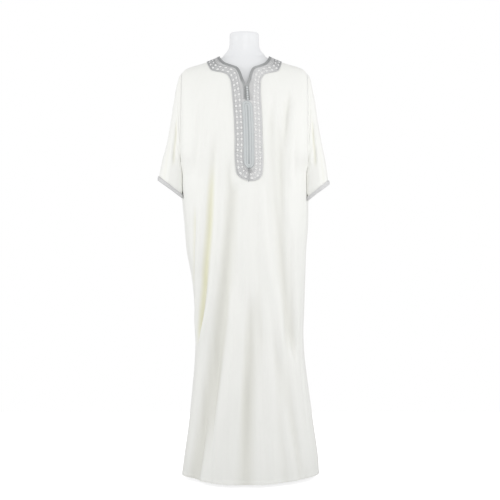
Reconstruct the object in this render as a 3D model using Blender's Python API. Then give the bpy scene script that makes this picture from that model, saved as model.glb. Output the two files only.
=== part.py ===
"""A short-sleeved djellaba robe hanging on a limbless dress form.

Metres, +Z up. The robe's front faces -Y, and the origin is the middle of the stand's underside.
Each panel is a wall around a surface that a function works out from the tables below, so the
trim on a panel is made from that panel's own points, moved out.
"""

import math

import bmesh
import bpy
import numpy as np

# ---------- driving sizes ----------
CLOTH = 0.0016  # wall of the robe's cloth
TRIM = 0.0012  # wall of the embroidered band and of the braid
SEAM_GAP = 0.0003  # between two pieces at a seam
LAY_GAP = 0.0006  # under a piece that lies on another
SEAT_GAP = 0.0004  # between the form's shoulders and the cloth on them

HEM_Z = 0.010
UNDERARM_Z = 1.060
SHOULDER_ROUNDING = 2.7  # exponent of the side view's curve, from shoulder to chest
YOKE_SQUARENESS = 3.0  # exponent of the sections above the underarm
ARMHOLE_DEPTH = 0.062  # from the shoulder seam's plane to the armhole's front and back edge
ARMHOLE_CURVE_START = 0.72  # share of the armhole's height where its round bottom starts

# ---------- tables ----------
# The body's level sections, as half widths and half depths of an oval.
BODY = np.array(
    [
        (0.010, 0.2175, 0.2620, 0.205, 0.196, 1.75),
        (0.063, 0.2125, 0.2586, 0.201, 0.192, 1.78),
        (0.189, 0.1965, 0.2415, 0.190, 0.181, 1.85),
        (0.316, 0.1845, 0.2240, 0.179, 0.170, 1.95),
        (0.442, 0.1745, 0.2100, 0.167, 0.159, 2.10),
        (0.505, 0.1730, 0.2050, 0.162, 0.154, 2.20),
        (0.590, 0.1760, 0.2110, 0.156, 0.147, 2.30),
        (0.695, 0.1845, 0.2130, 0.150, 0.140, 2.40),
        (0.800, 0.2046, 0.2160, 0.146, 0.135, 2.50),
        (0.884, 0.2116, 0.2225, 0.142, 0.131, 2.65),
        (0.968, 0.2176, 0.2230, 0.139, 0.128, 2.80),
        (1.060, 0.2186, 0.2200, 0.136, 0.125, YOKE_SQUARENESS),
    ],
    dtype=[(n, float) for n in ("z", "left", "right", "front", "back", "squareness")],
)
# The shoulder seam's height along the half width. Inside the neck it is a guide only.
SHOULDER = np.array(
    [
        (0.0000, 1.4945),
        (0.0400, 1.4885),
        (0.0850, 1.4735),
        (0.1200, 1.4637),
        (0.1580, 1.4514),
        (0.1900, 1.4400),
        (0.2070, 1.4305),
        (0.2186, 1.4175),
        (0.2200, 1.4155),
    ],
    dtype=[("across", float), ("z", float)],
)
# The neckline, and the outer edge of the embroidered band round it, from shoulder to slit.
# Across is from the slit's line, and drop is below the shoulder seam's height there.
NECK_FRONT = np.array(
    [
        (0.0850, 0.0000, 0.1300, 0.0000),
        (0.0835, 0.0080, 0.1245, 0.0210),
        (0.0790, 0.0190, 0.1155, 0.0410),
        (0.0670, 0.0360, 0.0990, 0.0550),
        (0.0480, 0.0510, 0.0800, 0.0660),
        (0.0260, 0.0650, 0.0620, 0.0810),
        (0.0145, 0.0800, 0.0525, 0.1010),
        (0.0080, 0.0975, 0.0495, 0.1230),
        (0.0000, 0.1235, 0.0482, 0.1480),
    ],
    dtype=[(n, float) for n in ("edge", "edge_drop", "band", "band_drop")],
)
NECK_BACK = np.array(
    [
        (0.0850, 0.0000, 0.1300, 0.0000),
        (0.0800, 0.0090, 0.1170, 0.0260),
        (0.0680, 0.0170, 0.0970, 0.0460),
        (0.0450, 0.0240, 0.0640, 0.0610),
        (0.0220, 0.0275, 0.0310, 0.0680),
        (0.0000, 0.0285, 0.0000, 0.0700),
    ],
    dtype=NECK_FRONT.dtype,
)
SLIT_LINE = np.array(
    [(0.0, 0.0), (0.06, 0.003), (0.1235, 0.006), (0.25, 0.0135), (0.46, 0.016)],
    dtype=[("drop", float), ("across", float)],
)
BAND_HALF_WIDTH = 0.0475
BAND_FOOT_DROP = 0.4595
CORD_SHARE = 0.27  # of the way from the neck's edge to the band's
CORD_TIP_DROP = 0.1345
BRAID_HALF_WIDTH = 0.0190
BRAID_TOP_DROP = 0.1830
BRAID_FOOT_DROP = 0.4170
BAND_TOP_ACROSS = 0.1300
ABOVE_NECK = 0.1
CUTTER_REACH = 0.3

# Folds of a panel: each row is one trough (or ridge, where depth is negative), from its upper end
# to its lower. x is in the front view, and a fold fades out over its last stretch.
FOLD_COLUMNS = "z_top z_low x_top x_mid x_low wide_top wide_low deep_top deep_low"
FOLD_TYPE = [(n, float) for n in FOLD_COLUMNS.split()]
FRONT_FOLDS = np.array(
    [
        (1.26, 0.44, -0.099, -0.121, -0.168, 0.020, 0.026, 0.009, 0.019),
        (1.16, -0.3, -0.040, -0.100, -0.262, 0.022, 0.042, 0.009, 0.024),
        (0.70, -0.3, 0.030, 0.010, -0.016, 0.030, 0.042, 0.008, 0.022),
        (1.32, 0.40, 0.088, 0.120, 0.176, 0.022, 0.026, 0.006, 0.014),
        (1.38, 0.92, 0.156, 0.133, 0.150, 0.018, 0.018, 0.007, 0.005),
        (0.74, -0.3, 0.084, 0.122, 0.174, 0.018, 0.026, 0.005, 0.012),
        (0.50, -0.3, 0.112, 0.188, 0.290, 0.020, 0.026, 0.005, 0.012),
        (0.66, -0.3, -0.014, -0.050, -0.094, 0.026, 0.036, -0.004, -0.008),
    ],
    dtype=FOLD_TYPE,
)
BACK_FOLDS = np.array(
    [
        (1.26, -0.3, -0.104, -0.138, -0.176, 0.022, 0.036, 0.007, 0.020),
        (1.14, 0.10, -0.050, -0.058, -0.085, 0.022, 0.034, 0.006, 0.014),
        (1.32, -0.3, 0.004, -0.004, -0.020, 0.022, 0.044, 0.004, 0.020),
        (1.10, 0.16, 0.058, 0.066, 0.090, 0.022, 0.030, 0.007, 0.015),
        (1.24, -0.3, 0.116, 0.146, 0.196, 0.022, 0.036, 0.008, 0.020),
        (0.62, -0.3, 0.040, 0.056, 0.076, 0.022, 0.034, 0.005, 0.014),
        (0.58, -0.3, -0.170, -0.192, -0.214, 0.022, 0.030, 0.005, 0.012),
    ],
    dtype=FOLD_TYPE,
)
TROUGH_FADE = 0.13  # over this height a fold starts and ends
HEM_CALM = 0.45  # share of a fold's depth that is left at the hem
HEM_CALM_HEIGHT = 0.40
SEAM_FADE = 0.35  # within this angle of a side seam the folds fade out

# The sleeve's upper edge in the front view, from the shoulder to the cuff.
SLEEVE_TOP = np.array(
    [
        (0.2186, 1.4175, 0.2200, 1.4155),
        (0.2290, 1.4025, 0.2300, 1.4025),
        (0.2398, 1.3555, 0.2398, 1.3555),
        (0.2465, 1.3148, 0.2480, 1.3148),
        (0.2555, 1.2561, 0.2560, 1.2561),
        (0.2700, 1.1744, 0.2705, 1.1744),
        (0.2885, 1.1042, 0.2845, 1.1042),
        (0.3030, 1.0400, 0.2965, 1.0270),
    ],
    dtype=[("left", float), ("left_z", float), ("right", float), ("right_z", float)],
)
CUFF_INNER = {"left": (0.2230, 0.9765), "right": (0.2285, 0.9705)}  # across, z
CUFF_HALF_DEPTH = 0.074
CUFF_WIDTH = 0.0155
CUFF_SQUARENESS = 2.3
SLEEVE_CLEARANCE = 0.0012  # the underarm's line stands off the side seam by this
SLEEVE_STEP = 0.02  # and reaches it within this length of the armhole
SLEEVE_FOLDS = np.array(
    [(0.72, 0.10, 0.012), (0.46, 0.08, 0.010), (0.20, 0.09, 0.007)],
    dtype=[("reach", float), ("wide", float), ("deep", float)],
)

BUTTONS = 6
BUTTON_RADIUS = 0.0036
BUTTON_PITCH = 0.0080
FIRST_BUTTON_Z = 1.3540
BUTTON_ASIDE = 0.0030  # from the slit's line

# The dress form's level sections.
FORM = np.array(
    [
        (0.740, 0.142, 0.076, 0.082, 2.2),
        (0.752, 0.150, 0.083, 0.089, 2.2),
        (0.860, 0.158, 0.094, 0.096, 2.2),
        (0.960, 0.148, 0.094, 0.090, 2.2),
        (1.040, 0.143, 0.099, 0.090, 2.2),
        (1.140, 0.156, 0.110, 0.098, 2.3),
        (1.230, 0.172, 0.113, 0.107, 2.3),
        (1.310, 0.192, 0.107, 0.104, 2.2),
        (1.360, 0.206, 0.096, 0.095, 2.1),
        (1.395, 0.2100, 0.084, 0.083, 2.0),
        (1.418, 0.2070, 0.072, 0.071, 2.0),
    ],
    dtype=[(n, float) for n in ("z", "across", "front", "back", "squareness")],
)
FORM_SHOULDER_DEPTHS = np.array(
    [
        (1.4295, 0.0645),
        (1.4365, 0.0610),
        (1.4440, 0.0570),
        (1.4520, 0.0540),
        (1.4595, 0.0520),
        (1.4665, 0.0510),
    ],
    dtype=[("z", float), ("depth", float)],
)
FORM_SHOULDER_END = 0.2045
FORM_NECK = np.array(
    [
        (1.4740, 0.0765, 0.0520, 0.0510),
        (1.4850, 0.0710, 0.0525, 0.0515),
        (1.4960, 0.0605, 0.0530, 0.0520),
        (1.5090, 0.0535, 0.0535, 0.0525),
        (1.5270, 0.0518, 0.0520, 0.0515),
        (1.5500, 0.0514, 0.0515, 0.0512),
        (1.5560, 0.0508, 0.0508, 0.0505),
        (1.5600, 0.0480, 0.0480, 0.0478),
    ],
    dtype=[(n, float) for n in ("z", "across", "front", "back")],
)
POLE_RADIUS = 0.0125
BASE_RADIUS = 0.135
BASE_THICKNESS = 0.008
BASE_COLLAR_RADIUS = 0.026
BASE_COLLAR_TOP = 0.034

# ---------- how finely the surfaces are divided ----------
YOKE_ROWS = 12
YOKE_ROW_CROWDING = 1.35  # rows are closer near the shoulder seam, where the cloth turns over
SKIRT_ROWS = 17
PANEL_COLUMNS = {"front": 38, "back": 30}
SLEEVE_ROWS = 14
SLEEVE_CELLS_ROUND = 26
FORM_CELLS_ROUND = 28
FORM_TORSO_RINGS = 12
SMALL_STEP = 1e-4  # for slopes


def smooth(at, knots, values):
    """Cubic through the knots, with each knot's slope from its two neighbours; held at the ends."""
    at = np.clip(at, knots[0], knots[-1])
    slopes = np.gradient(values, knots)
    k = np.clip(np.searchsorted(knots, at, side="right") - 1, 0, len(knots) - 2)
    span = knots[k + 1] - knots[k]
    t = (at - knots[k]) / span
    rise = t * t * (3 - 2 * t)
    return (
        values[k] * (1 - rise)
        + values[k + 1] * rise
        + span * (slopes[k] * t * (1 - t) ** 2 - slopes[k + 1] * t * t * (1 - t))
    )


def ease(t):
    """0 before 0, 1 after 1, and a soft S between."""
    t = np.clip(t, 0, 1)
    return t * t * (3 - 2 * t)


def signed_power(value, exponent):
    """A power that keeps the value's sign."""
    return np.sign(value) * np.abs(value) ** exponent


def shoulder_z(x):
    return smooth(np.abs(x), SHOULDER["across"], SHOULDER["z"])


def shoulder_across(z):
    """The half width at which the shoulder seam has height z."""
    across = np.linspace(0, SHOULDER["across"][-1], 600)
    return np.interp(-z, -shoulder_z(across), across)


# ---------- the robe's body as a surface ----------
def level(w, x):
    """Height at w: 0 on the shoulder seam, 1 at the underarm and 2 at the hem."""
    top = shoulder_z(x)
    return np.where(w <= 1, top + (UNDERARM_Z - top) * w, UNDERARM_Z + (HEM_Z - UNDERARM_Z) * (w - 1))


def oval(angle, squareness):
    """Across and depth, each 0 to 1, of a squared oval at an angle from its front."""
    s, c = np.abs(np.sin(angle)), np.abs(np.cos(angle))
    reach = (s**squareness + c**squareness) ** (1 / squareness)
    return s / reach, c / reach


def oval_angle(share, squareness):
    """The angle at which the squared oval has this share of its half width."""
    share = np.clip(np.abs(share), 0, 1)
    return np.arctan2(share, (1 - share**squareness) ** (1 / squareness))


def half_width(z, x_sign):
    """The body's half width on the left, where x_sign is negative, or the right."""
    z = np.minimum(z, UNDERARM_Z)
    left, right = (smooth(z, BODY["z"], BODY[side]) for side in ("left", "right"))
    return np.where(x_sign < 0, left, right)


def shoulder_curve(w):
    """Share of the full depth at w, from 0 on the shoulder seam to 1 at the underarm."""
    return (1 - (1 - np.clip(w, 0, 1)) ** SHOULDER_ROUNDING) ** (1 / SHOULDER_ROUNDING)


def armhole_depth(w):
    """Depth of the armhole's edge, which closes in a round bottom at the underarm."""
    t = np.clip((w - ARMHOLE_CURVE_START) / (1 - ARMHOLE_CURVE_START), 0, 1)
    return ARMHOLE_DEPTH * np.sqrt(1 - t * t)


def smooth_body(side, angle, w):
    """x, y, z of the body without folds. angle runs from -90 degrees, left, to 90, right."""
    x_sign = np.where(angle < 0, -1.0, 1.0)
    z_low = level(np.maximum(w, 1), 0.0)
    squareness = smooth(z_low, BODY["z"], BODY["squareness"])
    across, depth = oval(angle, squareness)
    x = x_sign * across * half_width(z_low, x_sign)
    edge = armhole_depth(w)
    full = smooth(z_low, BODY["z"], BODY[side])
    depth = shoulder_curve(w) * (edge + (full - edge) * depth) + SEAM_GAP / 2
    return x, depth, level(w, x)


def fold_depth(folds, side, angle, z, speed):
    """How far the folds push the surface in at a point. speed is metres for each radian there."""
    total = np.zeros_like(z)
    squareness = smooth(np.minimum(z, UNDERARM_Z), BODY["z"], BODY["squareness"])
    for f in folds:
        t = (f["z_top"] - z) / (f["z_top"] - f["z_low"])
        ends = ease((f["z_top"] - z) / TROUGH_FADE) * ease((z - f["z_low"]) / TROUGH_FADE)
        ends_x = (1 - t) * (1 - 2 * t) * f["x_top"] + t * (2 * t - 1) * f["x_low"]
        x = ends_x + 4 * t * (1 - t) * f["x_mid"]
        path = np.sign(x) * oval_angle(x / half_width(z, x), squareness)
        wide = f["wide_top"] + (f["wide_low"] - f["wide_top"]) * np.clip(t, 0, 1)
        deep = f["deep_top"] + (f["deep_low"] - f["deep_top"]) * np.clip(t, 0, 1)
        off = (angle - path) * speed / wide
        deep *= HEM_CALM + (1 - HEM_CALM) * ease((z - HEM_Z) / HEM_CALM_HEIGHT)
        total += deep * ends * (np.exp(-off * off) - 0.35 * np.exp(-((np.abs(off) - 1.9) ** 2) / 0.8))
    return total


def clear_of_seam(angle):
    """The angle, kept two small steps off the side seams."""
    most = np.pi / 2 - 2 * SMALL_STEP
    return np.clip(angle, -most, most)


def body_point(side, angle, w):
    """A point on the robe's front or back, folds and all."""
    towards = -1.0 if side == "front" else 1.0
    x, depth, z = smooth_body(side, angle, w)
    inside = clear_of_seam(angle)
    x_next, depth_next, _ = smooth_body(side, inside + SMALL_STEP, w)
    x_last, depth_last, _ = smooth_body(side, inside - SMALL_STEP, w)
    run_x, run_depth = x_next - x_last, depth_next - depth_last
    length = np.hypot(run_x, run_depth)
    folds = FRONT_FOLDS if side == "front" else BACK_FOLDS
    push = fold_depth(folds, side, angle, z, length / (2 * SMALL_STEP))
    at_edge = ease((np.pi / 2 - np.abs(angle)) / SEAM_FADE)
    push = push * at_edge * shoulder_curve(w) ** 2
    if side == "front":
        push = push * (1 - band_cover(x, z))
    out_x, out_depth = -run_depth / length, run_x / length
    return np.stack([x - push * out_x, towards * (depth - push * out_depth), z], axis=-1)


def band_cover(x, z):
    """1 under the stiff embroidered band on the chest, 0 away from it."""
    foot_z = SHOULDER["z"][0] - BAND_FOOT_DROP
    aside = np.abs(x - slit_x(SHOULDER["z"][0] - z))
    return (1 - ease((aside - BAND_HALF_WIDTH) / 0.03)) * ease((z - foot_z + 0.05) / 0.05)


def slit_x(drop):
    return smooth(drop, SLIT_LINE["drop"], SLIT_LINE["across"])


def body_place(x, z):
    """The angle and w of the body's surface at x and z in the front view."""
    top = shoulder_z(x)
    in_skirt = 1 + (UNDERARM_Z - z) / (UNDERARM_Z - HEM_Z)
    w = np.where(z > UNDERARM_Z, (top - z) / (top - UNDERARM_Z), in_skirt)
    squareness = smooth(np.minimum(z, UNDERARM_Z), BODY["z"], BODY["squareness"])
    return np.sign(x) * oval_angle(x / half_width(z, x), squareness), np.maximum(w, 0)


def outward(point, u, v):
    """Unit normals of a surface point(u, v), from its slopes; u to the right and v down is out."""
    along_u = point(u + SMALL_STEP, v) - point(u - SMALL_STEP, v)
    along_v = point(u, v + SMALL_STEP) - point(u, np.maximum(v - SMALL_STEP, 0))
    normal = np.cross(along_v, along_u)
    return normal / np.linalg.norm(normal, axis=-1, keepdims=True)


def body_wall(side, angle, w, low, high):
    """The two faces of a wall on the body, low and high metres out of its surface."""

    def point(u, v):
        return body_point(side, u, v)

    middle = point(angle, w)
    normal = outward(point, clear_of_seam(angle), w) * (1.0 if side == "front" else -1.0)
    return middle + low * normal, middle + high * normal


# ---------- meshes ----------
def material(name, colour, roughness, metallic=0.0):
    made = bpy.data.materials.new(name)
    made.use_nodes = True
    shader = made.node_tree.nodes["Principled BSDF"]
    shader.inputs["Base Color"].default_value = (*colour, 1)
    shader.inputs["Roughness"].default_value = roughness
    shader.inputs["Metallic"].default_value = metallic
    made.diffuse_color = (*colour, 1)
    return made


def finish(bm, name, made_of, parent=None, smooth_shading=True):
    bmesh.ops.recalc_face_normals(bm, faces=bm.faces)
    mesh = bpy.data.meshes.new(name)
    bm.to_mesh(mesh)
    bm.free()
    if made_of:
        mesh.materials.append(made_of)
    if smooth_shading:
        mesh.shade_smooth()
        mesh.set_sharp_from_angle(angle=math.radians(50))
    obj = bpy.data.objects.new(name, mesh)
    bpy.context.scene.collection.objects.link(obj)
    obj.parent = parent
    return obj


def add_grid(bm, points, round_and_round=False):
    """Verts and faces of a grid of points; its columns close on themselves if asked."""
    verts = [[bm.verts.new(p) for p in row] for row in points]
    for upper, lower in zip(verts, verts[1:]):
        add_strip(bm, upper, lower, round_and_round)
    return verts


def add_strip(bm, upper, lower, round_and_round=False):
    """A row of faces between two rows of verts, its diagonals slanting outwards as the folds do."""
    count = len(upper)
    for j in range(count if round_and_round else count - 1):
        k = (j + 1) % count
        if j < count // 2:
            bm.faces.new((upper[j], lower[j], upper[k]))
            bm.faces.new((upper[k], lower[j], lower[k]))
        else:
            bm.faces.new((upper[j], lower[j], lower[k]))
            bm.faces.new((upper[j], lower[k], upper[k]))


def wall(name, faces, made_of, parent, round_and_round=False):
    """A closed wall between two grids of points, with its rims filled."""
    bm = bmesh.new()
    inner, outer = (add_grid(bm, points, round_and_round) for points in faces)
    for row in (0, -1):
        add_strip(bm, inner[row], outer[row], round_and_round)
    if not round_and_round:
        for column in (0, -1):
            add_strip(bm, [row[column] for row in inner], [row[column] for row in outer])
    return finish(bm, name, made_of, parent)


def loft(name, rings, made_of, parent):
    """A closed solid through rings of points, capped at both ends."""
    bm = bmesh.new()
    verts = add_grid(bm, rings, True)
    bm.faces.new(verts[0])
    bm.faces.new(list(reversed(verts[-1])))
    return finish(bm, name, made_of, parent)


# ---------- the robe ----------
def spread_angles(side, count):
    """Angles from the middle to the side seam that split the section at hip height evenly."""
    angle = np.linspace(0, np.pi / 2, 400)
    x, depth, _ = smooth_body(side, angle, np.full_like(angle, 1.3))
    run = np.concatenate([[0], np.cumsum(np.hypot(np.diff(x), np.diff(depth)))])
    return np.interp(np.linspace(0, run[-1], count + 1), run, angle)


def panel_grid(side):
    """Angles and w of a panel's points, in columns from the shoulder seam's line to the hem."""
    half = PANEL_COLUMNS[side] // 2
    parts = []
    for sign in (-1, 1):
        top_x = sign * np.linspace(0, half_width(UNDERARM_Z, sign), half + 1)
        top, _ = body_place(top_x, shoulder_z(top_x))
        low = sign * spread_angles(side, half)
        order = slice(None, 0, -1) if sign < 0 else slice(None)
        parts.append((top[order], low[order]))
    angle_top, angle_low = (np.concatenate(pair) for pair in zip(*parts))
    turn = np.linspace(0, 1, YOKE_ROWS + 1)[:, None] ** YOKE_ROW_CROWDING * np.pi / 2
    yoke_w = 1 - np.cos(turn) ** (2 / SHOULDER_ROUNDING)
    skirt_w = 1 + np.linspace(0, 1, SKIRT_ROWS + 1)[1:, None]
    w = np.concatenate([yoke_w, skirt_w])
    angle = angle_top + (angle_low - angle_top) * ease(w)
    return angle, w + 0 * angle


def sleeve_frame(side, reach):
    """The top and bottom of the sleeve's ring that is reach metres from the cuff along its top."""
    across, z = SLEEVE_TOP[side][::-1], SLEEVE_TOP[f"{side}_z"][::-1]
    fine = np.linspace(0, len(z) - 1, 300)
    steps = np.arange(len(z), dtype=float)
    top = np.stack([smooth(fine, steps, across), smooth(fine, steps, z)], axis=-1)
    run = np.concatenate([[0], np.cumsum(np.linalg.norm(np.diff(top, axis=0), axis=1))])
    top_at = np.stack([np.interp(reach, run, top[:, k]) for k in range(2)], axis=-1)
    inner = np.array(CUFF_INNER[side])
    root_x = float(half_width(UNDERARM_Z, -1 if side == "left" else 1)) + CLOTH / 2 + SEAM_GAP
    underarm = np.array([root_x, UNDERARM_Z])
    length = np.linalg.norm(underarm - inner)
    share = (1 - np.exp(-reach / length)) / (1 - np.exp(-run[-1] / length))
    bottom_at = inner + (underarm - inner) * share[..., None]
    share_run = reach / run[-1]
    top_at[..., 0] = np.maximum(top_at[..., 0], root_x)
    off_root = SLEEVE_CLEARANCE * ease((run[-1] - reach) / SLEEVE_STEP)
    bottom_at[..., 0] = np.maximum(bottom_at[..., 0], root_x + off_root)
    return top_at, bottom_at, share_run, run[-1]


def sleeve_point(side, turn, reach):
    """A point on a sleeve. turn is 0 at its upper edge, then front, underarm and back."""
    top, bottom, share, _ = sleeve_frame(side, reach)
    down = (1 - np.cos(turn)) / 2
    flat = top + (bottom - top) * down[..., None]
    root_w = down
    root = shoulder_curve(root_w) * armhole_depth(root_w) + SEAM_GAP / 2
    cuff = CUFF_HALF_DEPTH * np.abs(np.sin(turn)) ** (2 / CUFF_SQUARENESS)
    depth = cuff + (root - cuff) * ease(share)
    for fold in SLEEVE_FOLDS:
        off = (share - fold["reach"]) / fold["wide"]
        depth = depth - fold["deep"] * np.exp(-off * off) * np.sin(turn) ** 2 * ease(2.2 * (1 - share))
    depth = np.where(np.sin(turn) >= 0, -depth, depth)
    mirrored = -1.0 if side == "left" else 1.0
    return np.stack([mirrored * flat[..., 0], depth, flat[..., 1]], axis=-1)


def sleeve_wall(side, turn, reach, low, high):
    """The two faces of a wall on a sleeve. At the armhole it is level with the armhole's plane."""

    def point(u, v):
        return sleeve_point(side, u, v)

    middle = point(turn, reach)
    normal = outward(point, turn, reach) * (-1.0 if side == "left" else 1.0)
    root = np.isclose(reach, sleeve_frame(side, reach)[3])
    round_it = point(turn + SMALL_STEP, reach) - point(turn - SMALL_STEP, reach)
    level_normal = np.stack([0 * turn, -round_it[..., 2], round_it[..., 1]], axis=-1)
    level_normal /= np.linalg.norm(level_normal, axis=-1, keepdims=True) + 1e-12
    from_middle = middle - middle.mean(axis=1, keepdims=True)
    level_normal *= np.sign((level_normal * from_middle).sum(-1, keepdims=True))
    normal = np.where(root[..., None], level_normal, normal)
    return middle + low * normal, middle + high * normal


def sleeve(side, made_of, parent):
    length = sleeve_frame(side, np.zeros(1))[3]
    turn = np.arange(SLEEVE_CELLS_ROUND) / SLEEVE_CELLS_ROUND * 2 * np.pi
    reach = np.linspace(length, 0, SLEEVE_ROWS + 1)
    reach, turn = np.meshgrid(reach, turn, indexing="ij")
    faces = sleeve_wall(side, turn, reach, -CLOTH / 2, CLOTH / 2)
    return wall(f"sleeve_{side}", faces, made_of, parent, round_and_round=True)


def cuff(side, made_of, parent):
    turn = np.arange(SLEEVE_CELLS_ROUND) / SLEEVE_CELLS_ROUND * 2 * np.pi
    reach, turn = np.meshgrid(np.linspace(CUFF_WIDTH, 0, 3), turn, indexing="ij")
    low = CLOTH / 2 + LAY_GAP
    faces = sleeve_wall(side, turn, reach, low, low + TRIM)
    return wall(f"cuff_{side}", faces, made_of, parent, round_and_round=True)


# ---------- the trim ----------
def neckline(side, share=0.0, foot=()):
    """A line round the neck from left to right, share of the way to the band's edge.

    Below the neck's table it goes on along the foot's points, if any. x and drop.
    """
    neck = NECK_FRONT if side == "front" else NECK_BACK
    x = neck["edge"] + (neck["band"] - neck["edge"]) * share
    drop = neck["edge_drop"] + (neck["band_drop"] - neck["edge_drop"]) * share
    half = np.concatenate([[(x[0], -ABOVE_NECK)], np.stack([x, drop], axis=-1), *foot])
    on_middle = abs(half[-1, 0]) < 1e-9
    both = np.concatenate([half * (-1, 1), half[:-1][::-1] if on_middle else half[::-1]])
    if side == "front":
        both[:, 0] += slit_x(both[:, 1])
    return both


def round_the_neck(side, share, foot=()):
    """Outline of a piece between the neckline and a line outside it."""
    return in_front_view(np.concatenate([neckline(side, share, foot), neckline(side)[::-1]]))


def round_foot(radius, drop, end=math.pi / 2):
    """Half of a round end, from its side to its lowest point."""
    turn = np.linspace(0, end, 6)
    return np.stack([radius * np.cos(turn), drop - radius + radius * np.sin(turn)], axis=-1)


def in_front_view(outline_points):
    """x and z of points given by x and by the drop below the shoulder seams' height at x."""
    x, drop = outline_points.T
    return np.stack([x, shoulder_z(np.minimum(np.abs(x), BAND_TOP_ACROSS)) - drop], axis=-1)


def prism(points, name):
    """A cutter: an outline in the front view, carried straight through the robe."""
    bm = bmesh.new()
    ends = [[bm.verts.new((x, y, z)) for x, z in points] for y in (-CUTTER_REACH, CUTTER_REACH)]
    add_strip(bm, *ends, round_and_round=True)
    bm.faces.new(ends[0])
    bm.faces.new(list(reversed(ends[1])))
    cutter = finish(bm, name, None, None, smooth_shading=False)
    cutter.hide_render = True
    cutter.hide_set(True)
    return cutter


def cut(obj, operation, shape):
    """Cuts a wall with a shape in the front view."""
    modifier = obj.modifiers.new(operation.lower(), "BOOLEAN")
    modifier.operation = operation
    modifier.solver = "EXACT"
    modifier.object = prism(shape, f"{obj.name}_cutter")


def panel(side, grid, made_of, parent):
    obj = wall(side, body_wall(side, *grid, -CLOTH / 2, CLOTH / 2), made_of, parent)
    cut(obj, "DIFFERENCE", in_front_view(neckline(side)))


def laid_on(name, side, grid, shape, low, made_of, parent):
    """The upper rows of the panel's own wall moved out by low, cut to a shape."""
    upper = [values[: YOKE_ROWS + 3] for values in grid]
    obj = wall(name, body_wall(side, *upper, low, low + TRIM), made_of, parent)
    cut(obj, "INTERSECT", shape)


def trim(grids, lattice, braid, robe):
    on_cloth = CLOTH / 2 + LAY_GAP
    on_band = on_cloth + TRIM + LAY_GAP
    feet = {
        "front": ([round_foot(BAND_HALF_WIDTH, BAND_FOOT_DROP)], [[(0, CORD_TIP_DROP)]]),
        "back": ((), ()),
    }
    for side, (band_foot, cord_foot) in feet.items():
        band, cord = round_the_neck(side, 1, band_foot), round_the_neck(side, CORD_SHARE, cord_foot)
        laid_on(f"band_{side}", side, grids[side], band, on_cloth, lattice, robe)
        laid_on(f"neck_cord_{side}", side, grids[side], cord, on_band, braid, robe)
    foot = round_foot(BRAID_HALF_WIDTH, BRAID_FOOT_DROP)
    head = foot[::-1] * (1, -1) + (0, BRAID_TOP_DROP + BRAID_FOOT_DROP)
    half = np.concatenate([head, foot])
    shape = np.concatenate([half[:-1], half[:0:-1] * (-1, 1)])
    shape[:, 0] += slit_x(shape[:, 1])
    laid_on("slit_braid", "front", grids["front"], in_front_view(shape), on_band, braid, robe)
    for index in range(BUTTONS):
        button(index, on_cloth + TRIM + SEAM_GAP, braid, robe)


def button(index, low, made_of, parent):
    """One knotted button on the band beside the slit."""
    z = FIRST_BUTTON_Z - index * BUTTON_PITCH
    x = float(slit_x(SHOULDER["z"][0] - z)) + BUTTON_ASIDE
    angle, w = body_place(np.array([[x]]), np.array([[z]]))
    _, centre = body_wall("front", angle, w, 0, low + BUTTON_RADIUS)
    bm = bmesh.new()
    bmesh.ops.create_icosphere(bm, subdivisions=2, radius=BUTTON_RADIUS)
    obj = finish(bm, f"button_{index + 1}", made_of, parent)
    obj.location = centre[0, 0]
    return obj


# ---------- the dress form ----------
def form_rings():
    """Rings of the torso: the table's, the shoulders' under the cloth, and the neck's."""
    torso = np.linspace(FORM["z"][1], FORM["z"][-1], FORM_TORSO_RINGS)
    rings = [tuple(FORM[0])]
    for z in torso:
        rings.append((z, *(float(smooth(z, FORM["z"], FORM[n])) for n in FORM.dtype.names[1:])))
    for row in FORM_SHOULDER_DEPTHS:
        under_cloth = row["z"] + CLOTH / 2 + SEAT_GAP
        across = min(float(shoulder_across(under_cloth)), FORM_SHOULDER_END)
        rings.append((row["z"], across, row["depth"], row["depth"], 2.0))
    rings += [(*row, 2.0) for row in FORM_NECK]
    turn = np.arange(FORM_CELLS_ROUND) / FORM_CELLS_ROUND * 2 * np.pi
    made = []
    for z, across, front, back, squareness in rings:
        exponent = 2 / squareness
        x = across * signed_power(np.cos(turn), exponent)
        y = signed_power(np.sin(turn), exponent)
        y = np.where(y < 0, y * front, y * back)
        made.append(np.stack([x, y, np.full_like(x, z)], axis=-1))
    return np.array(made)


def pole(made_of, parent):
    low, high = BASE_COLLAR_TOP + SEAM_GAP, float(FORM["z"][0]) - SEAM_GAP
    bm = bmesh.new()
    bmesh.ops.create_cone(
        bm, cap_ends=True, segments=20, radius1=POLE_RADIUS, radius2=POLE_RADIUS, depth=high - low
    )
    obj = finish(bm, "form_pole", made_of, parent)
    obj.location = (0, 0, (low + high) / 2)
    return obj


def base(made_of, parent):
    """The stand's round foot with the collar that holds the pole, turned from a profile."""
    profile = [
        (0, 0),
        (BASE_RADIUS, 0),
        (BASE_RADIUS, BASE_THICKNESS * 0.6),
        (BASE_RADIUS - BASE_THICKNESS * 0.5, BASE_THICKNESS),
        (BASE_COLLAR_RADIUS + 0.006, BASE_THICKNESS),
        (BASE_COLLAR_RADIUS, BASE_THICKNESS + 0.006),
        (BASE_COLLAR_RADIUS - 0.004, BASE_COLLAR_TOP),
        (0, BASE_COLLAR_TOP),
    ]
    bm = bmesh.new()
    verts = [bm.verts.new((r, 0, z)) for r, z in profile]
    edges = [bm.edges.new(pair) for pair in zip(verts, verts[1:])]
    up, turn = (0, 0, 1), 2 * math.pi
    bmesh.ops.spin(
        bm, geom=verts + edges, axis=up, cent=(0, 0, 0), angle=turn, steps=32, use_merge=True
    )
    bmesh.ops.remove_doubles(bm, verts=bm.verts, dist=1e-6)
    return finish(bm, "form_base", made_of, parent)


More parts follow.
